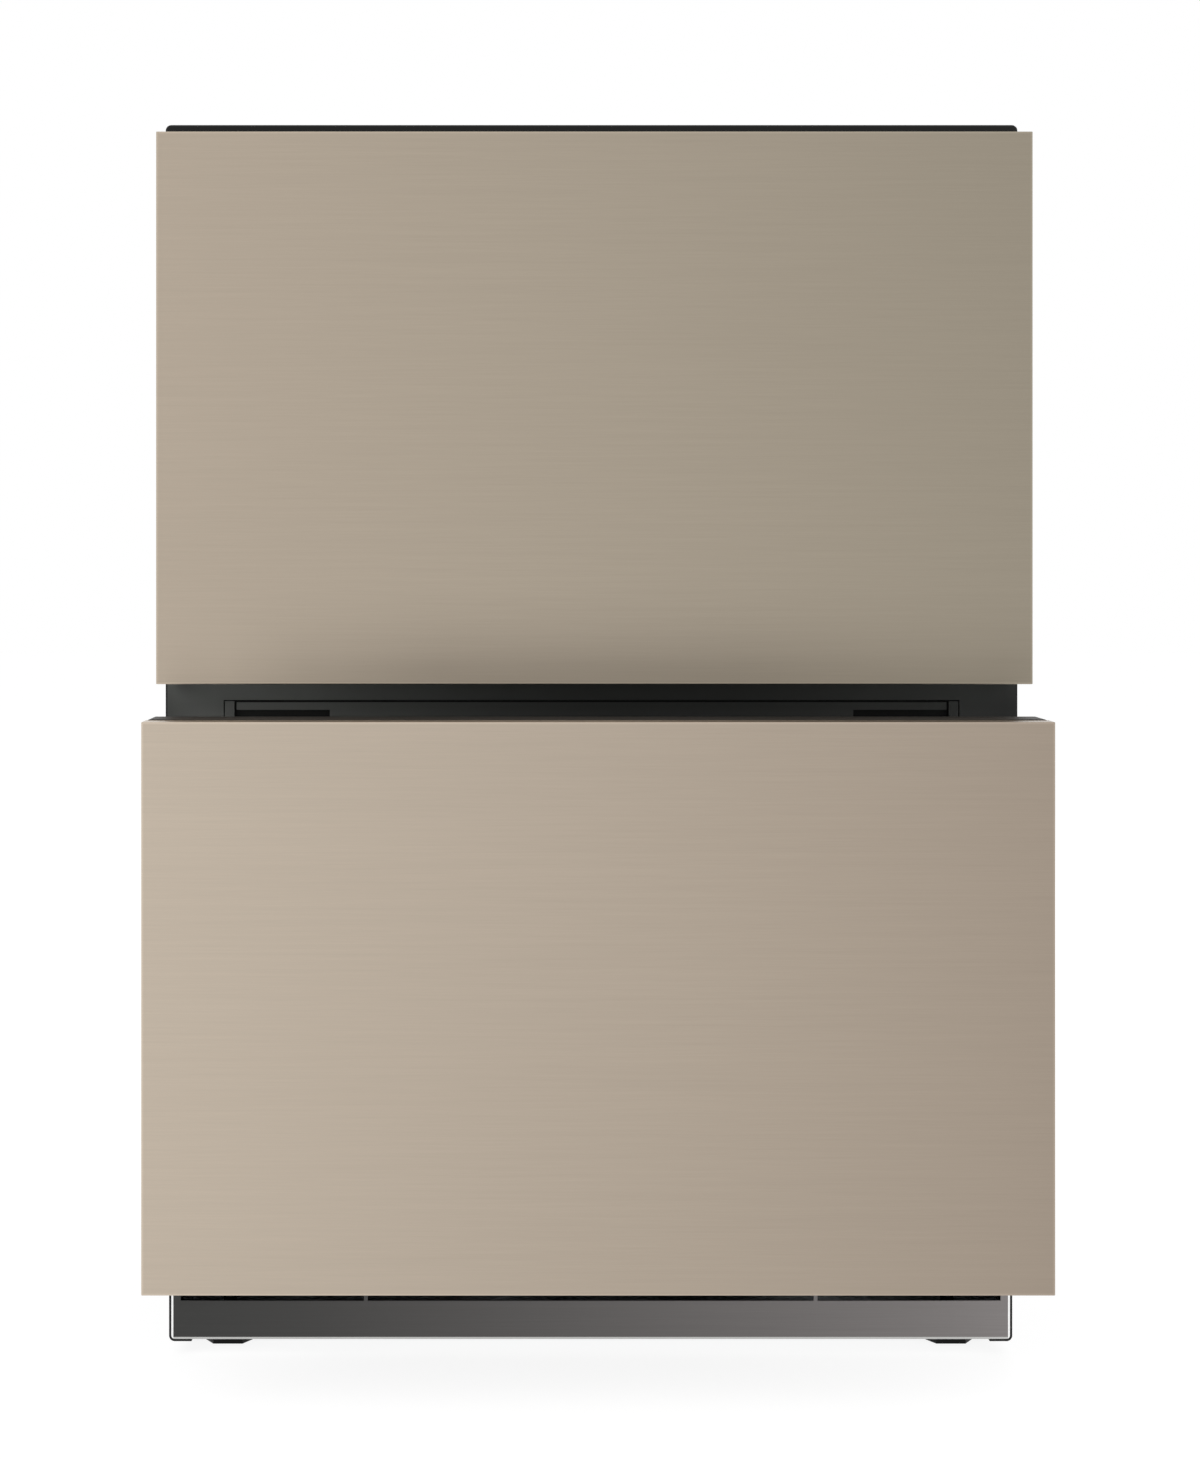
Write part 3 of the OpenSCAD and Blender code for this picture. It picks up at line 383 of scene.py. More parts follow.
@dataclass(frozen=True)
class CoatedSheet:
    """Painted sheet with a faint orange peel and a little dust."""

    name: str
    base: Colour
    dust: Colour
    rough: float
    shine: float = 0.5
    dusty: float = 0.35
    spread: float = 0.12
    peel_depth: float = 0.04 * MM
    peel_strength: float = 0.4

    PEEL = even(420.0)
    PATCHES = Noise(5.0, 5.0, 7.0, 4.0, 0.6)

    def tint(self, coat: Recipe, patches: Socket) -> Socket:
        """Colour of the paint with its dust."""
        return coat.blend(coat.span(patches, 0.45, 0.8, 0.0, self.dusty), self.base, self.dust)

    def make(self) -> bpy.types.Material:
        """Builds the material.

        Returns:
            The material.
        """
        coat = Recipe(self.name)
        patches = coat.noise(self.PATCHES)
        coat.colour(self.tint(coat, patches))
        coat.roughness(coat.span(patches, 0.3, 0.8, self.rough, self.rough + self.spread))
        coat.bump(coat.noise(self.PEEL), self.peel_depth, self.peel_strength)
        coat.plain(Specular_IOR_Level=self.shine)
        return coat.material


@dataclass(frozen=True)
class FrameCoat(CoatedSheet):
    """Paint of the front frame, with painted light at the left of the rail and painted shade in
    its recesses.

    On the rail, across and rise give the painted light by place across and by height. The heights
    at which they hold are in height, and elsewhere is the lightness of the rest of the frame.
    """

    # Painted light on the rail, by place across and by height
    across: Profile = (
        (-0.295, 1.25), (-0.286, 1.65), (-0.275, 2.3), (-0.265, 2.75), (-0.235, 3.2), (-0.2, 3.3),
        (-0.13, 2.4), (-0.06, 1.6), (0.0, 1.2), (0.1, 1.18), (0.2, 1.4), (0.26, 1.0), (0.29, 0.5),
    )
    rise: Profile = ((0.457, 0.92), (0.462, 1.0), (0.471, 1.3), (0.477, 1.45))
    height: Profile = ((0.43, 0.0), (0.445, 1.0), (0.482, 1.0), (0.50, 0.0))
    elsewhere: float = 0.25
    # Painted shade: black behind the frame's front face, in its recesses
    recess: Profile = ((-0.2048, 1.0), (-0.2040, 0.1))

    def tint(self, coat: Recipe, patches: Socket) -> Socket:
        """Colour of the paint with its dust, its painted light and its painted shade.

        Args:
            coat: The material in the making.
            patches: Where dust lies.

        Returns:
            The colour.
        """
        near = coat.profile(coat.axis("Z"), self.height)
        # Painted light on the rail, lighter at its left and towards its top
        rail = coat.times(coat.profile(coat.axis("X"), self.across),
                          coat.profile(coat.axis("Z"), self.rise))
        light = coat.plus(coat.times(near, rail),
                          coat.times(coat.minus(1.0, near), self.elsewhere))
        # Painted shade in the recesses behind the frame's front face
        light = coat.times(light, coat.profile(coat.axis("Y"), self.recess))
        return coat.shaded(super().tint(coat, patches), light)


@dataclass(frozen=True)
class Moulded:
    """Moulded plastic with a fine spark-eroded texture and faint flow marks."""

    name: str
    base: Colour
    shift: float
    rough: float
    depth: float = 0.03 * MM
    per_metre: float = 900.0
    shine: float = 0.5
    strength: float = 0.6
    smoother: float = 0.06
    duller: float = 0.08

    FLOW = even(7.0, 3.0)

    def make(self) -> bpy.types.Material:
        """Builds the material.

        Returns:
            The material.
        """
        plastic = Recipe(self.name)
        spark = plastic.noise(even(self.per_metre, 3.0, 0.65))
        flow = plastic.span(plastic.noise(self.FLOW), 0.3, 0.7, 0.0, 1.0)
        light = tuple(min(1.0, part * (1.0 + self.shift)) for part in self.base)
        dark = tuple(part * (1.0 - self.shift) for part in self.base)
        plastic.colour(plastic.blend(flow, dark, light))
        plastic.roughness(plastic.span(spark, 0.2, 0.8, self.rough - self.smoother,
                                       self.rough + self.duller))
        plastic.bump(spark, self.depth, self.strength)
        plastic.plain(Specular_IOR_Level=self.shine)
        return plastic.material


@dataclass(frozen=True)
class BareMetal:
    """Plated, galvanised or drawn metal with spangles or stains."""

    name: str
    light: Colour
    dark: Colour
    spangle: float
    rough: float
    contrast: float = 0.7
    clean: float = 0.3
    smoother: float = 0.05
    duller: float = 0.09
    dent_depth: float = 0.02 * MM
    dent_strength: float = 0.5

    STAINS = even(14.0, 4.0, 0.6)
    DENTS = even(300.0, 3.0)

    def make(self) -> bpy.types.Material:
        """Builds the material.

        Returns:
            The material.
        """
        metal = Recipe(self.name)
        cells = metal.cells(self.spangle, "Color")
        grey = metal.node("ShaderNodeSeparateColor", {0: cells}).outputs[0]
        stained = metal.span(metal.noise(self.STAINS), 0.25, 0.7, self.clean, 1.0)
        factor = metal.times(metal.span(grey, 0.0, 1.0, 0.0, self.contrast), stained)
        metal.colour(metal.blend(factor, self.light, self.dark))
        metal.roughness(metal.span(grey, 0.0, 1.0, self.rough - self.smoother,
                                   self.rough + self.duller))
        metal.bump(metal.noise(self.DENTS), self.dent_depth, self.dent_strength)
        metal.plain(Metallic=1.0)
        return metal.material


@dataclass(frozen=True)
class Foam:
    """Cut or moulded rigid foam with open cells, black along the cabinet's front."""

    name: str
    light: Colour
    dark: Colour
    front_black: Colour = srgb(10, 10, 10)
    front_black_y: float = -198 * MM
    per_metre: float = 420.0
    cell_depth: float = 0.6 * MM
    cell_strength: float = 0.8
    rough: float = 0.92

    PATCHES = even(11.0, 4.0, 0.6)

    def make(self) -> bpy.types.Material:
        """Builds the material.

        Returns:
            The material.
        """
        foam = Recipe(self.name)
        patches = foam.span(foam.noise(self.PATCHES), 0.3, 0.75, 0.0, 1.0)
        bare = foam.blend(patches, self.light, self.dark)
        # Black in front of a set depth along the cabinet's front
        at_front = foam.maths("LESS_THAN", foam.axis("Y"), self.front_black_y)
        foam.colour(foam.blend(at_front, bare, self.front_black))
        cells = foam.span(foam.cells(self.per_metre), 0.0, 0.6, 0.0, 1.0)
        foam.bump(cells, self.cell_depth, self.cell_strength)
        foam.plain(Roughness=self.rough)
        return foam.material


@dataclass(frozen=True)
class Rubber:
    """Soft extruded or moulded rubber with a dull bloom."""

    name: str
    base: Colour
    bloom: Colour
    bloomed: float = 0.5
    dull: tuple[float, float] = (0.62, 0.8)
    grain_depth: float = 0.03 * MM
    grain_strength: float = 0.5

    BLOOM = even(22.0, 4.0, 0.6)
    GRAIN = even(1300.0)

    def make(self) -> bpy.types.Material:
        """Builds the material.

        Returns:
            The material.
        """
        rubber = Recipe(self.name)
        bloom = rubber.noise(self.BLOOM)
        grey = rubber.span(bloom, 0.45, 0.8, 0.0, self.bloomed)
        rubber.colour(rubber.blend(grey, self.base, self.bloom))
        rubber.roughness(rubber.span(bloom, 0.3, 0.7, *self.dull))
        rubber.bump(rubber.noise(self.GRAIN), self.grain_depth, self.grain_strength)
        return rubber.material


class Finishes:
    """Every finish of the refrigerator, made once and looked up by the record's slot names."""

    RECIPES = (
        # One steel painted at two lightnesses, with a painted sheen at the left and painted shade
        # at the bottom
        BrushedSteel("upper_front_steel", srgb(183, 170, 154), srgb(155, 146, 131), 0.298,
                     panel="upper_panel_skin",
                     shade=((0.479, 0.25), (0.492, 0.25), (0.502, 0.17), (0.509, 0.135),
                            (0.516, 0.095), (0.526, 0.055), (0.55, 0.0)),
                     shade_sides=((-0.25, 0.0), (-0.20, 0.5), (-0.105, 1.0), (0.1, 0.95),
                                  (0.2, 0.58), (0.255, 0.42), (0.29, 0.55))),
        BrushedSteel("lower_front_steel", srgb(196, 183, 167), srgb(163, 150, 136), 0.298,
                     panel="lower_panel_skin", shade=((0.10, 0.055), (0.45, 0.0)),
                     shade_sides=((-0.3, 1.0), (0.3, 1.0))),
        # Painted shade: the grille is darker at the left and lighter at the right
        GrilleSteel("grille_steel", srgb(69, 69, 68), srgb(132, 128, 127), 0.296, 0.05, curve=1.3),
        CoatedSheet("black_coat", srgb(26, 26, 26), srgb(40, 40, 39), 0.42, 0.25),
        # Painted light at the left of the rail and painted shade in the frame's recesses
        FrameCoat("frame_coat", srgb(64, 65, 63), srgb(68, 68, 66), 0.42, 0.12),
        CoatedSheet("compressor_paint", srgb(22, 22, 23), srgb(40, 38, 36), 0.22),
        CoatedSheet("coil_paint", srgb(26, 26, 26), srgb(60, 57, 52), 0.4),
        BareMetal("galvanised", srgb(188, 191, 193), srgb(168, 171, 174), 130.0, 0.46),
        BareMetal("runner_zinc", srgb(208, 210, 213), srgb(194, 196, 200), 240.0, 0.52),
        BareMetal("copper_tube", srgb(214, 142, 106), srgb(132, 78, 56), 40.0, 0.32),
        BareMetal("coil_aluminium", srgb(222, 223, 226), srgb(190, 192, 196), 90.0, 0.34),
        Foam("foam", srgb(236, 222, 176), srgb(214, 190, 128)),
        Foam("core", srgb(232, 226, 208), srgb(206, 196, 168)),
        Moulded("liner_plastic", srgb(222, 224, 226), 0.02, 0.34, 0.003 * MM, 700.0),
        Moulded("tub_plastic", srgb(226, 229, 232), 0.02, 0.30, 0.002 * MM, 700.0),
        Moulded("black_plastic", srgb(30, 30, 30), 0.12, 0.46),
        Moulded("foot_plastic", srgb(18, 18, 17), 0.1, 0.5, shine=0.15),
        Moulded("door_plastic", srgb(44, 41, 38), 0.12, 0.46, shine=0.15),
        Moulded("glide_plastic", srgb(232, 231, 226), 0.03, 0.4, 0.02 * MM),
        Moulded("fan_plastic", srgb(48, 49, 51), 0.1, 0.4),
        Moulded("lamp_plastic", srgb(244, 244, 238), 0.01, 0.5, 0.04 * MM, 1200.0),
        Rubber("gasket_rubber", srgb(38, 38, 39), srgb(66, 65, 64)),
        Rubber("mount_rubber", srgb(24, 24, 24), srgb(52, 50, 48)),
    )

    # CAD nodes with a finish of their own instead of their slot's
    OWN = {
        "face_frame": "frame_coat", "mullion_cover": "frame_coat", "mullion_strip": "frame_coat",
        "upper_panel_skin": "upper_front_steel", "lower_panel_skin": "lower_front_steel",
        "levelling_feet": "foot_plastic",
    }

    def __init__(self) -> None:
        """Builds all the materials."""
        self.made = {recipe.name: recipe.make() for recipe in self.RECIPES}

    def __getitem__(self, name: str) -> bpy.types.Material:
        """The material of that name."""
        return self.made[name]

    def dress(self) -> None:
        """Gives every CAD node its finish."""
        slots = {part["node"]: part["material_slot"] for part in frame["record"]["subparts"]}
        for name, node in frame["nodes"].items():
            finish = self.made[self.OWN.get(name, slots[name])]
            if not node.material_slots:
                node.data.materials.append(finish)
            for holder in node.material_slots:
                holder.material = finish


class Edge(Enum):
    """How far an edge is rounded over."""

    SHEET = 0.35 * MM
    FOLD = 0.8 * MM


class Crease(Enum):
    """From what angle a smooth surface keeps an edge sharp."""

    SOFTENED = math.radians(32.0)
    TURNED = math.radians(35.0)
    SWEPT = math.radians(40.0)


def creased(mesh: bpy.types.Mesh, crease: Crease) -> bpy.types.Mesh:
    """Shades a mesh smooth up to its creases.

    Args:
        mesh: The mesh, which is changed.
        crease: Where it stays sharp.

    Returns:
        The same mesh.
    """
    for polygon in mesh.polygons:
        polygon.use_smooth = True
    mesh.set_sharp_from_angle(angle=crease.value)
    return mesh


def closed(name: str, shell: bmesh.types.BMesh) -> bpy.types.Mesh:
    """Turns a closed shell's faces outwards and makes a mesh of it.

    Args:
        name: The mesh's name.
        shell: The shell, which is used up.

    Returns:
        The mesh.
    """
    bmesh.ops.recalc_face_normals(shell, faces=shell.faces)
    mesh = bpy.data.meshes.new(name)
    shell.to_mesh(mesh)
    shell.free()
    return mesh


def new_piece(name: str, mesh: bpy.types.Mesh, finish: bpy.types.Material) -> bpy.types.Object:
    """Puts a mesh in the scene as an object of its own.

    Args:
        name: The piece's name.
        mesh: Its mesh, in place.
        finish: Its material.

    Returns:
        The object, at the origin.
    """
    mesh.materials.clear()
    mesh.materials.append(finish)
    made = bpy.data.objects.new(name, mesh)
    bpy.context.scene.collection.objects.link(made)
    return made


def settle(made: bpy.types.Object, body: str, slot: str, *replaced: str) -> None:
    """Says what a finished piece rides on, and the nodes that it stands for.

    Args:
        made: The piece.
        body: The CAD body that it moves with.
        slot: Not used.
        *replaced: CAD nodes that it replaces.
    """
    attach(made, body)
    if replaced:
        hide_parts(*replaced)
    LOG.info("%s: %d faces on %s", made.name, len(made.data.polygons), body)


def baked(made: bpy.types.Object) -> bpy.types.Mesh:
    """The plain mesh of an object with its modifiers done."""
    graph = bpy.context.evaluated_depsgraph_get()
    return bpy.data.meshes.new_from_object(made.evaluated_get(graph))


def softened(node: str, edge: Edge, finish: bpy.types.Material) -> bpy.types.Object:
    """Copies a CAD node with its sharp edges rounded over.

    Args:
        node: The node to copy.
        edge: How far its edges are rounded.
        finish: The copy's material.

    Returns:
        The new object, which doesn't ride on anything yet.
    """
    same_place, flat, rounded = 0.001 * MM, math.radians(2.0), math.radians(40.0)
    shell = bmesh.new()
    shell.from_mesh(frame["nodes"][node].data)
    bmesh.ops.remove_doubles(shell, verts=shell.verts, dist=same_place)
    bmesh.ops.dissolve_limit(shell, angle_limit=flat, verts=shell.verts, edges=shell.edges)
    mesh = bpy.data.meshes.new(node + "_rounded")
    shell.to_mesh(mesh)
    shell.free()
    draft = new_piece(node + "_draft", creased(mesh, Crease.SOFTENED), finish)
    rounding = draft.modifiers.new("Rounding", "BEVEL")
    rounding.width = edge.value
    rounding.segments = 2
    rounding.limit_method = "ANGLE"
    rounding.angle_limit = rounded
    rounding.use_clamp_overlap = True
    levelling = draft.modifiers.new("Levelling", "WEIGHTED_NORMAL")
    levelling.keep_sharp = True
    done = baked(draft)
    bpy.data.objects.remove(draft)
    return new_piece(node + "_shown", done, finish)


def lathe(profile: Sequence[tuple[float, float]], turns: int = 40) -> bpy.types.Mesh:
    """Turns a closed profile about the Z axis.

    Args:
        profile: Radius and height pairs from the bottom of the axis to its top, in millimetres.
        turns: How many flats make the round.

    Returns:
        A closed mesh.
    """
    solid = bmesh.new()
    rings: list[list[bmesh.types.BMVert]] = []
    for radius, height in profile:
        count = turns if radius else 1
        angles = [math.tau * i / turns for i in range(count)]
        rings.append([solid.verts.new((radius * MM * math.cos(angle),
                                       radius * MM * math.sin(angle), height * MM))
                      for angle in angles])
    for low, high in zip(rings, rings[1:]):
        for i in range(turns):
            j = (i + 1) % turns
            corners = [low[i % len(low)], low[j % len(low)],
                       high[j % len(high)], high[i % len(high)]]
            unique = list(dict.fromkeys(corners))
            if len(unique) > 2:
                solid.faces.new(unique)
    return creased(closed("lathe", solid), Crease.TURNED)


def screw_head(radius: float, height: float) -> bpy.types.Mesh:
    """A low pan head with a hexagonal recess.

    Args:
        radius: Radius of the head.
        height: Height of the head.

    Returns:
        A closed mesh whose foot is at the origin.
    """
    sides, corners = 24, 6
    sector = math.tau / corners
    # Radius and height as parts of the head's, and whether the ring is the recess
    loops = ((1.0, 0.0, False), (1.0, 0.55, False), (0.93, 0.82, False), (0.78, 1.0, False),
             (0.46, 1.0, True), (0.46, 0.45, True))
    head = bmesh.new()
    rings = []
    for reach, level, recess in loops:
        ring = []
        for i in range(sides):
            angle = math.tau * i / sides
            out = reach * radius
            if recess:
                out *= math.cos(sector / 2) / math.cos(angle % sector - sector / 2)
            ring.append(head.verts.new((out * math.cos(angle), out * math.sin(angle),
                                        level * height)))
        rings.append(ring)
    for low, high in zip(rings, rings[1:]):
        for i in range(sides):
            j = (i + 1) % sides
            head.faces.new((low[i], low[j], high[j], high[i]))
    head.faces.new(list(reversed(rings[0])))
    head.faces.new(rings[-1])
    return closed("screw_head", head)


def scatter_tree() -> bpy.types.GeometryNodeTree:
    """A tree that puts a template on each point of a mesh, turned along the point's aim.

    Returns:
        The node tree, with inputs for the template, its size and its finish.
    """
    tree = bpy.data.node_groups.new("scatter", "GeometryNodeTree")
    for name, kind in (("Geometry", "Geometry"), ("Template", "Object"), ("Size", "Float"),
                       ("Finish", "Material")):
        tree.interface.new_socket(name, in_out="INPUT", socket_type="NodeSocket" + kind)
    tree.interface.new_socket("Geometry", in_out="OUTPUT", socket_type="NodeSocketGeometry")
    start = tree.nodes.new("NodeGroupInput")
    end = tree.nodes.new("NodeGroupOutput")
    template = tree.nodes.new("GeometryNodeObjectInfo")
    aim = tree.nodes.new("GeometryNodeInputNamedAttribute")
    aim.data_type = "FLOAT_VECTOR"
    aim.inputs["Name"].default_value = "aim"
    turn = tree.nodes.new("FunctionNodeAlignRotationToVector")
    turn.axis = "Z"
    place = tree.nodes.new("GeometryNodeInstanceOnPoints")
    real = tree.nodes.new("GeometryNodeRealizeInstances")
    dress = tree.nodes.new("GeometryNodeSetMaterial")
    link = tree.links.new
    link(start.outputs["Template"], template.inputs["Object"])
    link(aim.outputs["Attribute"], turn.inputs["Vector"])
    link(start.outputs["Geometry"], place.inputs["Points"])
    link(template.outputs["Geometry"], place.inputs["Instance"])
    link(turn.outputs["Rotation"], place.inputs["Rotation"])
    link(start.outputs["Size"], place.inputs["Scale"])
    link(place.outputs["Instances"], real.inputs["Geometry"])
    link(real.outputs["Geometry"], dress.inputs["Geometry"])
    link(start.outputs["Finish"], dress.inputs["Material"])
    link(dress.outputs["Geometry"], end.inputs["Geometry"])
    return tree


@dataclass(frozen=True)
class Seat:
    """Where one repeated piece goes and which way its top points."""

    place: Point
    aim: Point


class Repeater:
    """Copies small templates onto many seats with Geometry Nodes."""

    def __init__(self) -> None:
        """Builds the tree once."""
        self.tree = scatter_tree()
        self.sockets = {item.name: item.identifier for item in self.tree.interface.items_tree
                        if item.in_out == "INPUT"}

    def make(self, name: str, template: bpy.types.Mesh, seats: Iterable[Seat],
             finish: bpy.types.Material, size: float = 1.0) -> bpy.types.Object:
        """Makes one plain mesh of all the copies.

        Args:
            name: The new piece's name.
            template: The mesh to copy, with its foot at the origin and its top along Z.
            seats: Where the copies go.
            finish: Their material.
            size: A factor on the template's size.

        Returns:
            The new object, which doesn't ride on anything yet.
        """
        spots = list(seats)
        points = bpy.data.meshes.new(name + "_points")
        points.from_pydata([spot.place for spot in spots], [], [])
        aims = points.attributes.new("aim", "FLOAT_VECTOR", "POINT")
        aims.data.foreach_set("vector", [part for spot in spots for part in spot.aim])
        pattern = bpy.data.objects.new(name + "_template", template)
        draft = bpy.data.objects.new(name + "_draft", points)
        for item in (pattern, draft):
            bpy.context.scene.collection.objects.link(item)
        scatter = draft.modifiers.new("Scatter", "NODES")
        scatter.node_group = self.tree
        scatter[self.sockets["Template"]] = pattern
        scatter[self.sockets["Size"]] = size
        scatter[self.sockets["Finish"]] = finish
        mesh = baked(draft)
        draft.modifiers.remove(scatter)
        for item in (draft, pattern):
            bpy.data.objects.remove(item)
        return new_piece(name, mesh, finish)


@dataclass
class Gasket:
    """Magnetic bellows gasket of one drawer, swept round the door."""

    name: str
    body: str
    bend: float = 18.75 * MM
    corner_steps: int = 10
    width: float = 10.5 * MM
    groove: float = 5.0 * MM

    # Half of the section: distance from the middle and height off the door, in millimetres
    SECTION = (
        (0.0, -4.9), (0.7, -4.3), (1.6, -3.5), (0.8, -3.3), (0.8, -2.3), (1.6, -1.9), (0.8, -1.7),
        (0.8, -0.1), (4.6, 0.02), (5.15, 0.3), (5.1, 0.7), (4.2, 0.95), (2.7, 1.15), (2.3, 1.5),
        (2.6, 1.85), (3.9, 2.1), (4.9, 2.4), (5.2, 2.9), (5.2, 4.7), (4.95, 5.3), (4.4, 5.62),
        (3.4, 5.68), (2.2, 5.5), (0.0, 5.5),
    )

    def outline(self) -> list[tuple[float, float, float, float]]:
        """Follows the middle of the ring.

        Returns:
            Its points and outward directions, as x, z, nx, nz.
        """
        low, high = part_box(self.name)
        mid = self.width / 2
        half_x = (high.x - low.x) / 2 - mid
        bottom, top = low.z + mid, high.z - mid
        corners = ((half_x, top, 0.0), (-half_x, top, 90.0), (-half_x, bottom, 180.0),
                   (half_x, bottom, 270.0))
        path = []
        for x, z, start in corners:
            centre_x = x - math.copysign(self.bend, x)
            centre_z = z - self.bend if z == top else z + self.bend
            for step in range(self.corner_steps + 1):
                angle = math.radians(start + 90.0 * step / self.corner_steps)
                across, up = math.cos(angle), math.sin(angle)
                path.append((centre_x + self.bend * across, centre_z + self.bend * up, across, up))
        return path

    def build(self, finish: bpy.types.Material) -> None:
        """Makes the ring in place of its plain solid.

        Args:
            finish: Its material.
        """
        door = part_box(self.name)[0].y + self.groove
        half = [(u * MM, w * MM) for u, w in self.SECTION]
        section = half + [(-u, w) for u, w in reversed(half[1:-1])]
        ring = bmesh.new()
        loops = [[ring.verts.new((x + u * across, door + w, z + u * up)) for u, w in section]
                 for x, z, across, up in self.outline()]
        for here, there in zip(loops, loops[1:] + loops[:1]):
            for k in range(len(section)):
                n = (k + 1) % len(section)
                ring.faces.new((here[k], here[n], there[n], there[k]))
        mesh = creased(closed(self.name + "_bellows", ring), Crease.SWEPT)
        made = new_piece(self.name + "_bellows", mesh, finish)
        settle(made, self.body, "gasket_rubber", self.name)


class Level(Enum):
    """Which of the two drawers it is."""

    UPPER = "upper"
    LOWER = "lower"


@dataclass
class Drawer:
    """One drawer: its steel front, door frame, seal, tub ribs and screws."""

    level: Level
    finishes: Finishes
    repeater: Repeater
    rib_pitch: float = 52 * MM
    rib_start: float = 20 * MM
    rib_half_width: float = 2.2 * MM
    rib_height: float = 1.1 * MM
    rib_sink: float = 0.05 * MM
    ribs_each_side: int = 4
    tub_wall: float = 2.5 * MM
    bracket_x: float = 237.5 * MM
    bracket_wall: float = 1.5 * MM
    screw_pitch: float = 24 * MM
    screw_inset: float = 10 * MM
    screw_radius: float = 3.2 * MM
    screw_height: float = 1.5 * MM
    screws_each_side: int = 4

    # Part of the tub's floor that the ribs run along; the lower tub's ends at its step
    RIB_REACH = {Level.UPPER: 0.86, Level.LOWER: 0.62}

    def named(self, piece: str) -> str:
        """Name of this drawer's piece or body."""
        return f"{self.level.value}_{piece}"

    @property
    def body(self) -> str:
        """Name of the body that the drawer's pieces ride on."""
        return self.named("drawer")

    def build(self) -> None:
        """Makes every piece of the drawer."""
        self.front()
        Gasket(self.named("gasket"), self.body).build(self.finishes["gasket_rubber"])
        self.tub_ribs()
        self.bracket_screws()

    def front(self) -> None:
        """Folded steel skin and moulded door frame with rounded edges."""
        skin, door = self.named("panel_skin"), self.named("door_frame")
        steel, plastic = self.finishes[self.named("front_steel")], self.finishes["door_plastic"]
        settle(softened(skin, Edge.FOLD, steel), self.body, "panel_steel", skin)
        settle(softened(door, Edge.FOLD, plastic), self.body, "black_plastic", door)

    def rib(self, length: float) -> bpy.types.Mesh:
        """One rounded rib along Y.

        Args:
            length: Its length.

        Returns:
            A closed mesh with its middle at the origin.
        """
        steps = 8
        rib = bmesh.new()
        ends = []
        for end in (-length / 2, length / 2):
            angles = [math.pi * i / steps for i in range(steps + 1)]
            ends.append([rib.verts.new((self.rib_half_width * math.cos(angle), end,
                                        self.rib_height * math.sin(angle) - self.rib_sink))
                         for angle in angles])
        near, far = ends
        for i in range(steps + 1):
            j = (i + 1) % (steps + 1)
            rib.faces.new((near[i], near[j], far[j], far[i]))
        rib.faces.new(near)
        rib.faces.new(list(reversed(far)))
        return closed("rib", rib)

    def tub_ribs(self) -> None:
        """Low ribs moulded along the floor of the tub."""
        low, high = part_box(self.named("tub"))
        length = (high.y - low.y) * self.RIB_REACH[self.level]
        middle = low.y + self.rib_start + length / 2
        floor = low.z + self.tub_wall
        seats = [Seat((self.rib_pitch * i, middle, floor), UP)
                 for i in range(-self.ribs_each_side, self.ribs_each_side + 1)]
        made = self.repeater.make(self.named("tub_ribs"), self.rib(length), seats,
                                  self.finishes["tub_plastic"])
        settle(made, self.body, "tub_plastic")

    def bracket_screws(self) -> None:
        """Screws that hold the side brackets to the door."""
        low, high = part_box(self.named("side_brackets"))
        seats = [Seat((side * self.bracket_x, low.y + self.bracket_wall,
                       high.z - self.screw_inset - i * self.screw_pitch), BACKWARDS)
                 for side in (-1.0, 1.0) for i in range(self.screws_each_side)]
        head = screw_head(self.screw_radius, self.screw_height)
        made = self.repeater.make(self.named("bracket_screws"), head, seats,
                                  self.finishes["runner_zinc"])
        settle(made, self.body, "runner_zinc")


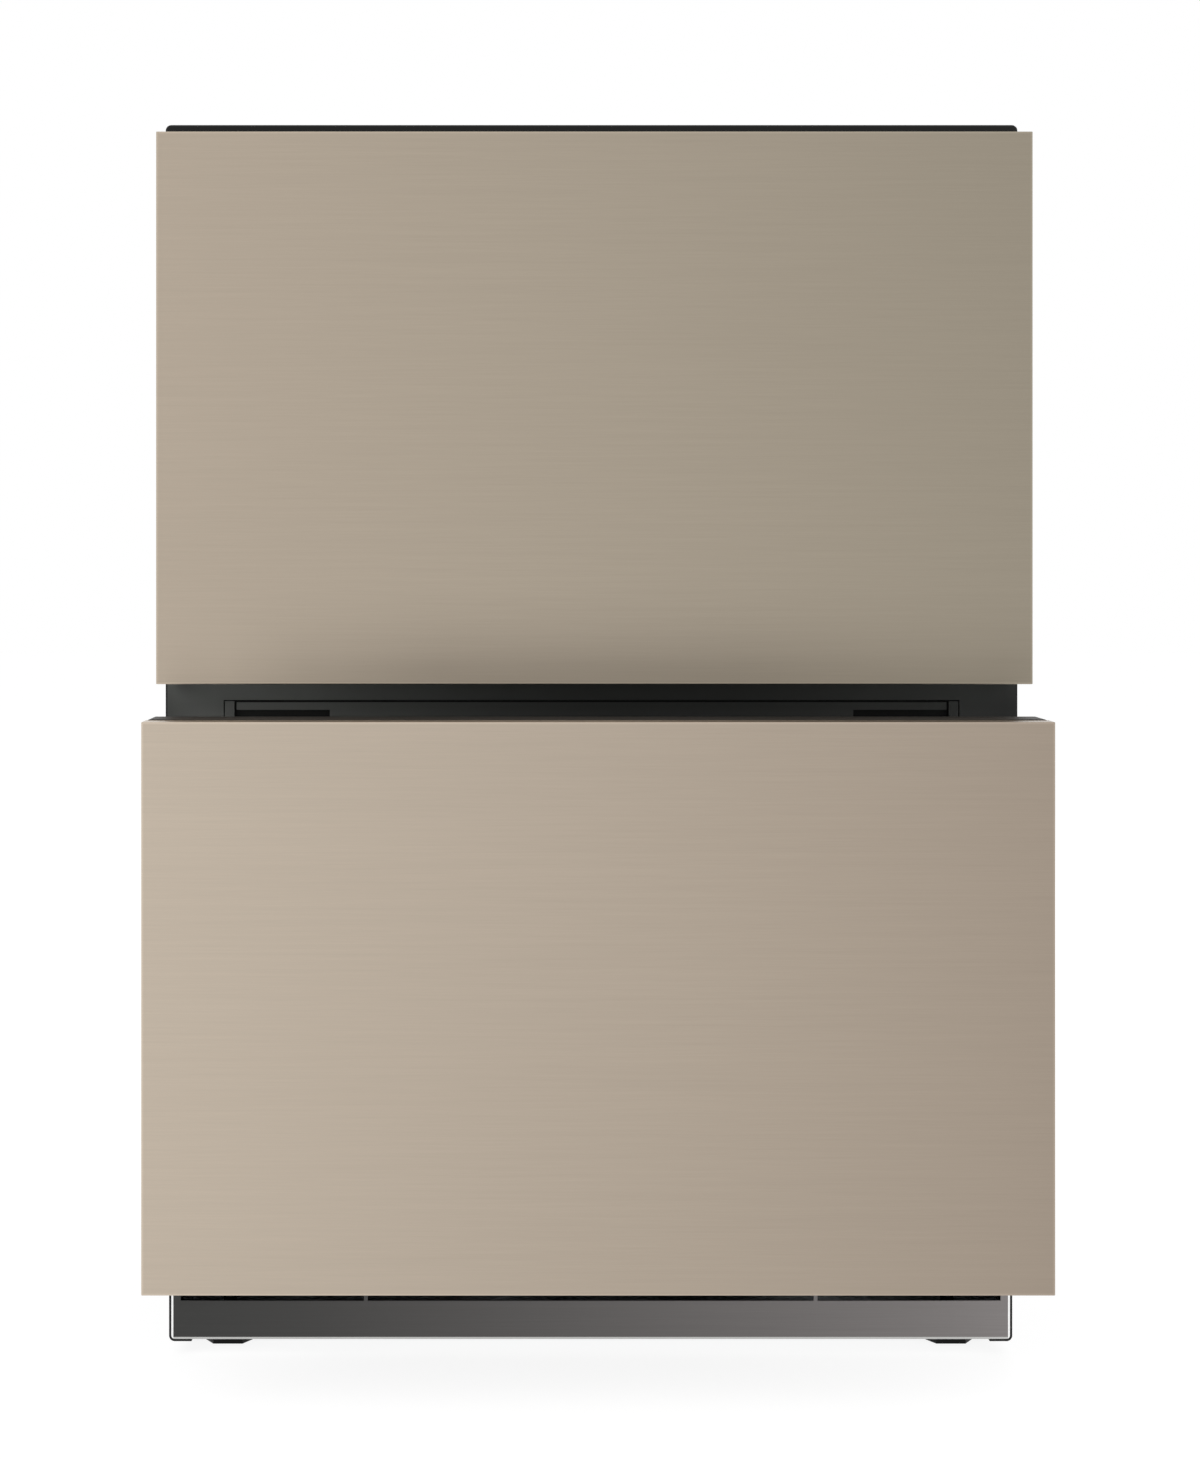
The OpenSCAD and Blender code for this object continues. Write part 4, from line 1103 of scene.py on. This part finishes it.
@dataclass
class Cabinet:
    """The fixed cabinet: kick grille, machine bay, cold side and rear covers."""

    finishes: Finishes
    repeater: Repeater
    body: str = "cabinet"
    grommet_radius: float = 10 * MM
    wire_pitch: float = 5.6 * MM
    wire_start: float = 36 * MM
    wire_foot: float = 27 * MM
    wires_in_row: int = 22
    cover_inset: float = 14 * MM
    cover_screw: tuple[float, float] = (3.6 * MM, 1.6 * MM)
    rear_reach: float = 287.0 * MM
    rear_screw: tuple[float, float] = (2.1 * MM, 1.2 * MM)

    # Radius and height, in millimetres, of a rubber foot and of a condenser wire
    GROMMET = ((0.0, 0.0), (9.6, 0.0), (9.9, 0.6), (9.9, 2.2), (7.2, 3.4), (7.2, 5.6), (9.9, 6.8),
               (9.9, 8.9), (5.0, 8.9), (5.0, 11.6), (4.4, 12.0), (0.0, 12.0))
    WIRE = ((0.0, 0.0), (0.7, 0.0), (0.7, 98.0), (0.0, 98.0))
    WIRE_ROWS = (206.3 * MM, 241.3 * MM, 276.3 * MM)
    BACK_ROWS = tuple((249.0 + 152.0 * i) * MM for i in range(5))
    BAY_ROWS = (21.6 * MM, 224.5 * MM)

    def build(self) -> None:
        """Makes every piece of the cabinet."""
        self.grille()
        self.grommets()
        self.condenser_wires()
        self.cover_screws()
        self.rear_screws()

    def grille(self) -> None:
        """Kick grille with rounded edges."""
        made = softened("kick_grille", Edge.SHEET, self.finishes["grille_steel"])
        settle(made, self.body, "grille_steel", "kick_grille")

    def grommets(self) -> None:
        """Waisted rubber feet under the compressor."""
        low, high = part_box("compressor_grommets")
        middle = (low + high) / 2
        half_x = (high.x - low.x) / 2 - self.grommet_radius
        half_y = (high.y - low.y) / 2 - self.grommet_radius
        seats = [Seat((middle.x + side * half_x, middle.y + end * half_y, low.z), UP)
                 for side in (-1, 1) for end in (-1, 1)]
        made = self.repeater.make("compressor_grommet_set", lathe(self.GROMMET), seats,
                                  self.finishes["mount_rubber"])
        settle(made, self.body, "mount_rubber", "compressor_grommets")

    def condenser_wires(self) -> None:
        """Fine wires welded across the condenser's passes."""
        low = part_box("condenser_coil")[0]
        wire = lathe(self.WIRE, turns=8)
        start, foot = low.x + self.wire_start, low.z + self.wire_foot
        seats = [Seat((start + i * self.wire_pitch, row, foot), UP)
                 for row in self.WIRE_ROWS for i in range(self.wires_in_row)]
        made = self.repeater.make("condenser_wires", wire, seats, self.finishes["coil_paint"])
        settle(made, self.body, "coil_paint")

    def cover_screws(self) -> None:
        """Screws in the corners of the evaporator cover."""
        low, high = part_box("evaporator_cover")
        inset = self.cover_inset
        seats = [Seat((x, low.y, z), FORWARDS) for x in (low.x + inset, high.x - inset)
                 for z in (low.z + inset, high.z - inset)]
        made = self.repeater.make("evaporator_cover_screws", screw_head(*self.cover_screw), seats,
                                  self.finishes["runner_zinc"])
        settle(made, self.body, "runner_zinc")

    def rear_screws(self) -> None:
        """Flush screws round the back cover and the machine bay cover."""
        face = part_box("back_cover")[1].y
        depth = self.rear_screw[1]
        columns = [self.rear_reach * step / 3.0 for step in (-3, -1, 1, 3)]
        ends, sides = (self.BACK_ROWS[0], self.BACK_ROWS[-1]), (columns[0], columns[-1])
        border = [(x, z) for z in self.BACK_ROWS for x in columns if z in ends or x in sides]
        border += [(x, z) for x in columns for z in self.BAY_ROWS]
        seats = [Seat((x, face - depth, z), BACKWARDS) for x, z in border]
        made = self.repeater.make("rear_cover_screws", screw_head(*self.rear_screw), seats,
                                  self.finishes["runner_zinc"])
        settle(made, self.body, "runner_zinc")


@dataclass(frozen=True)
class Lamp:
    """A large soft lamp that faces the middle of the refrigerator."""

    name: str
    place: Point
    size: float
    power: float

    TARGET = (0.0, 0.0, 0.42)

    def hang(self) -> None:
        """Puts the lamp in the scene."""
        data = bpy.data.lights.new(self.name, "AREA")
        data.size = self.size
        data.energy = self.power
        made = bpy.data.objects.new(self.name, data)
        made.location = self.place
        aim = Vector(self.TARGET) - Vector(self.place)
        made.rotation_euler = aim.to_track_quat("-Z", "Y").to_euler()
        made.visible_glossy = False
        bpy.context.scene.collection.objects.link(made)


@dataclass(frozen=True)
class Studio:
    """Plain pale floor, soft lights, and the photograph's camera."""

    eye: Point = (-0.061, -2.092, 0.564)
    lens: float = 66.266
    sensor: float = 36.0
    shift: tuple[float, float] = (0.0653, -0.1168)
    clip: tuple[float, float] = (0.05, 60.0)
    ambient: float = 0.62
    floor_reach: float = 14.0
    paper: float = 0.8
    glow: float = 1.17
    glow_share: float = 0.75

    LAMPS = (
        Lamp("key", (-1.9, -2.4, 2.3), 2.2, 52.0),
        Lamp("fill", (2.2, -1.8, 1.6), 2.4, 26.0),
        Lamp("rear", (0.6, 2.6, 2.2), 2.4, 34.0),
    )

    def build(self) -> None:
        """Makes the stage."""
        self.camera()
        self.world()
        self.floor()
        for lamp in self.LAMPS:
            lamp.hang()

    def camera(self) -> None:
        """Shifted camera that looks straight at the fronts."""
        data = bpy.data.cameras.new("camera")
        data.lens = self.lens
        data.sensor_width = self.sensor
        data.shift_x, data.shift_y = self.shift
        data.clip_start, data.clip_end = self.clip
        made = bpy.data.objects.new("camera", data)
        made.location = self.eye
        made.rotation_euler = (math.radians(90.0), 0.0, 0.0)
        bpy.context.scene.collection.objects.link(made)
        bpy.context.scene.camera = made

    @staticmethod
    def seen(tree: bpy.types.NodeTree) -> Socket:
        """Tells the rays by which the camera, metal or glass sees the stage from those that light.

        Args:
            tree: Where the nodes go.

        Returns:
            One on the first, and nought on the others.
        """
        rays = tree.nodes.new("ShaderNodeLightPath")
        seen = rays.outputs["Is Camera Ray"]
        for kind in ("Is Glossy Ray", "Is Transmission Ray"):
            either = tree.nodes.new("ShaderNodeMath")
            either.operation = "MAXIMUM"
            tree.links.new(seen, either.inputs[0])
            tree.links.new(rays.outputs[kind], either.inputs[1])
            seen = either.outputs[0]
        return seen

    def world(self) -> None:
        """White where the camera, metal or glass sees it, softer where it lights the object."""
        world = bpy.data.worlds.new("studio")
        world.use_nodes = True
        tree = world.node_tree
        tree.nodes.clear()
        strength = tree.nodes.new("ShaderNodeMapRange")
        strength.inputs["To Min"].default_value = self.ambient
        strength.inputs["To Max"].default_value = 1.0
        sky = tree.nodes.new("ShaderNodeBackground")
        sky.inputs["Color"].default_value = (1.0, 1.0, 1.0, 1.0)
        out = tree.nodes.new("ShaderNodeOutputWorld")
        tree.links.new(self.seen(tree), strength.inputs["Value"])
        tree.links.new(strength.outputs["Result"], sky.inputs["Strength"])
        tree.links.new(sky.outputs[0], out.inputs["Surface"])
        bpy.context.scene.world = world

    def floor(self) -> None:
        """Wide white floor that keeps a faint shadow."""
        far = self.floor_reach
        mesh = bpy.data.meshes.new("floor")
        corners = [(-far, -far, 0.0), (far, -far, 0.0), (far, far, 0.0), (-far, far, 0.0)]
        mesh.from_pydata(corners, [], [(0, 1, 2, 3)])
        paper = bpy.data.materials.new("floor_paper")
        paper.use_nodes = True
        tree = paper.node_tree
        tree.nodes.clear()
        matt = tree.nodes.new("ShaderNodeBsdfDiffuse")
        matt.inputs["Color"].default_value = (self.paper, self.paper, self.paper, 1.0)
        glow = tree.nodes.new("ShaderNodeEmission")
        glow.inputs["Strength"].default_value = self.glow
        share = tree.nodes.new("ShaderNodeMath")
        share.operation = "MULTIPLY"
        share.inputs[1].default_value = self.glow_share
        blend = tree.nodes.new("ShaderNodeMixShader")
        out = tree.nodes.new("ShaderNodeOutputMaterial")
        tree.links.new(self.seen(tree), share.inputs[0])
        tree.links.new(share.outputs[0], blend.inputs[0])
        tree.links.new(matt.outputs[0], blend.inputs[1])
        tree.links.new(glow.outputs[0], blend.inputs[2])
        tree.links.new(blend.outputs[0], out.inputs["Surface"])
        new_piece("floor", mesh, paper)


def main() -> None:
    """Builds the stage and the refrigerator."""
    logging.basicConfig(level=logging.INFO, format="%(message)s")
    bpy.context.scene.view_settings.view_transform = "Standard"
    Studio().build()
    finishes = Finishes()
    finishes.dress()
    repeater = Repeater()
    Cabinet(finishes, repeater).build()
    for level in Level:
        Drawer(level, finishes, repeater).build()


if __name__ == "__main__":
    main()
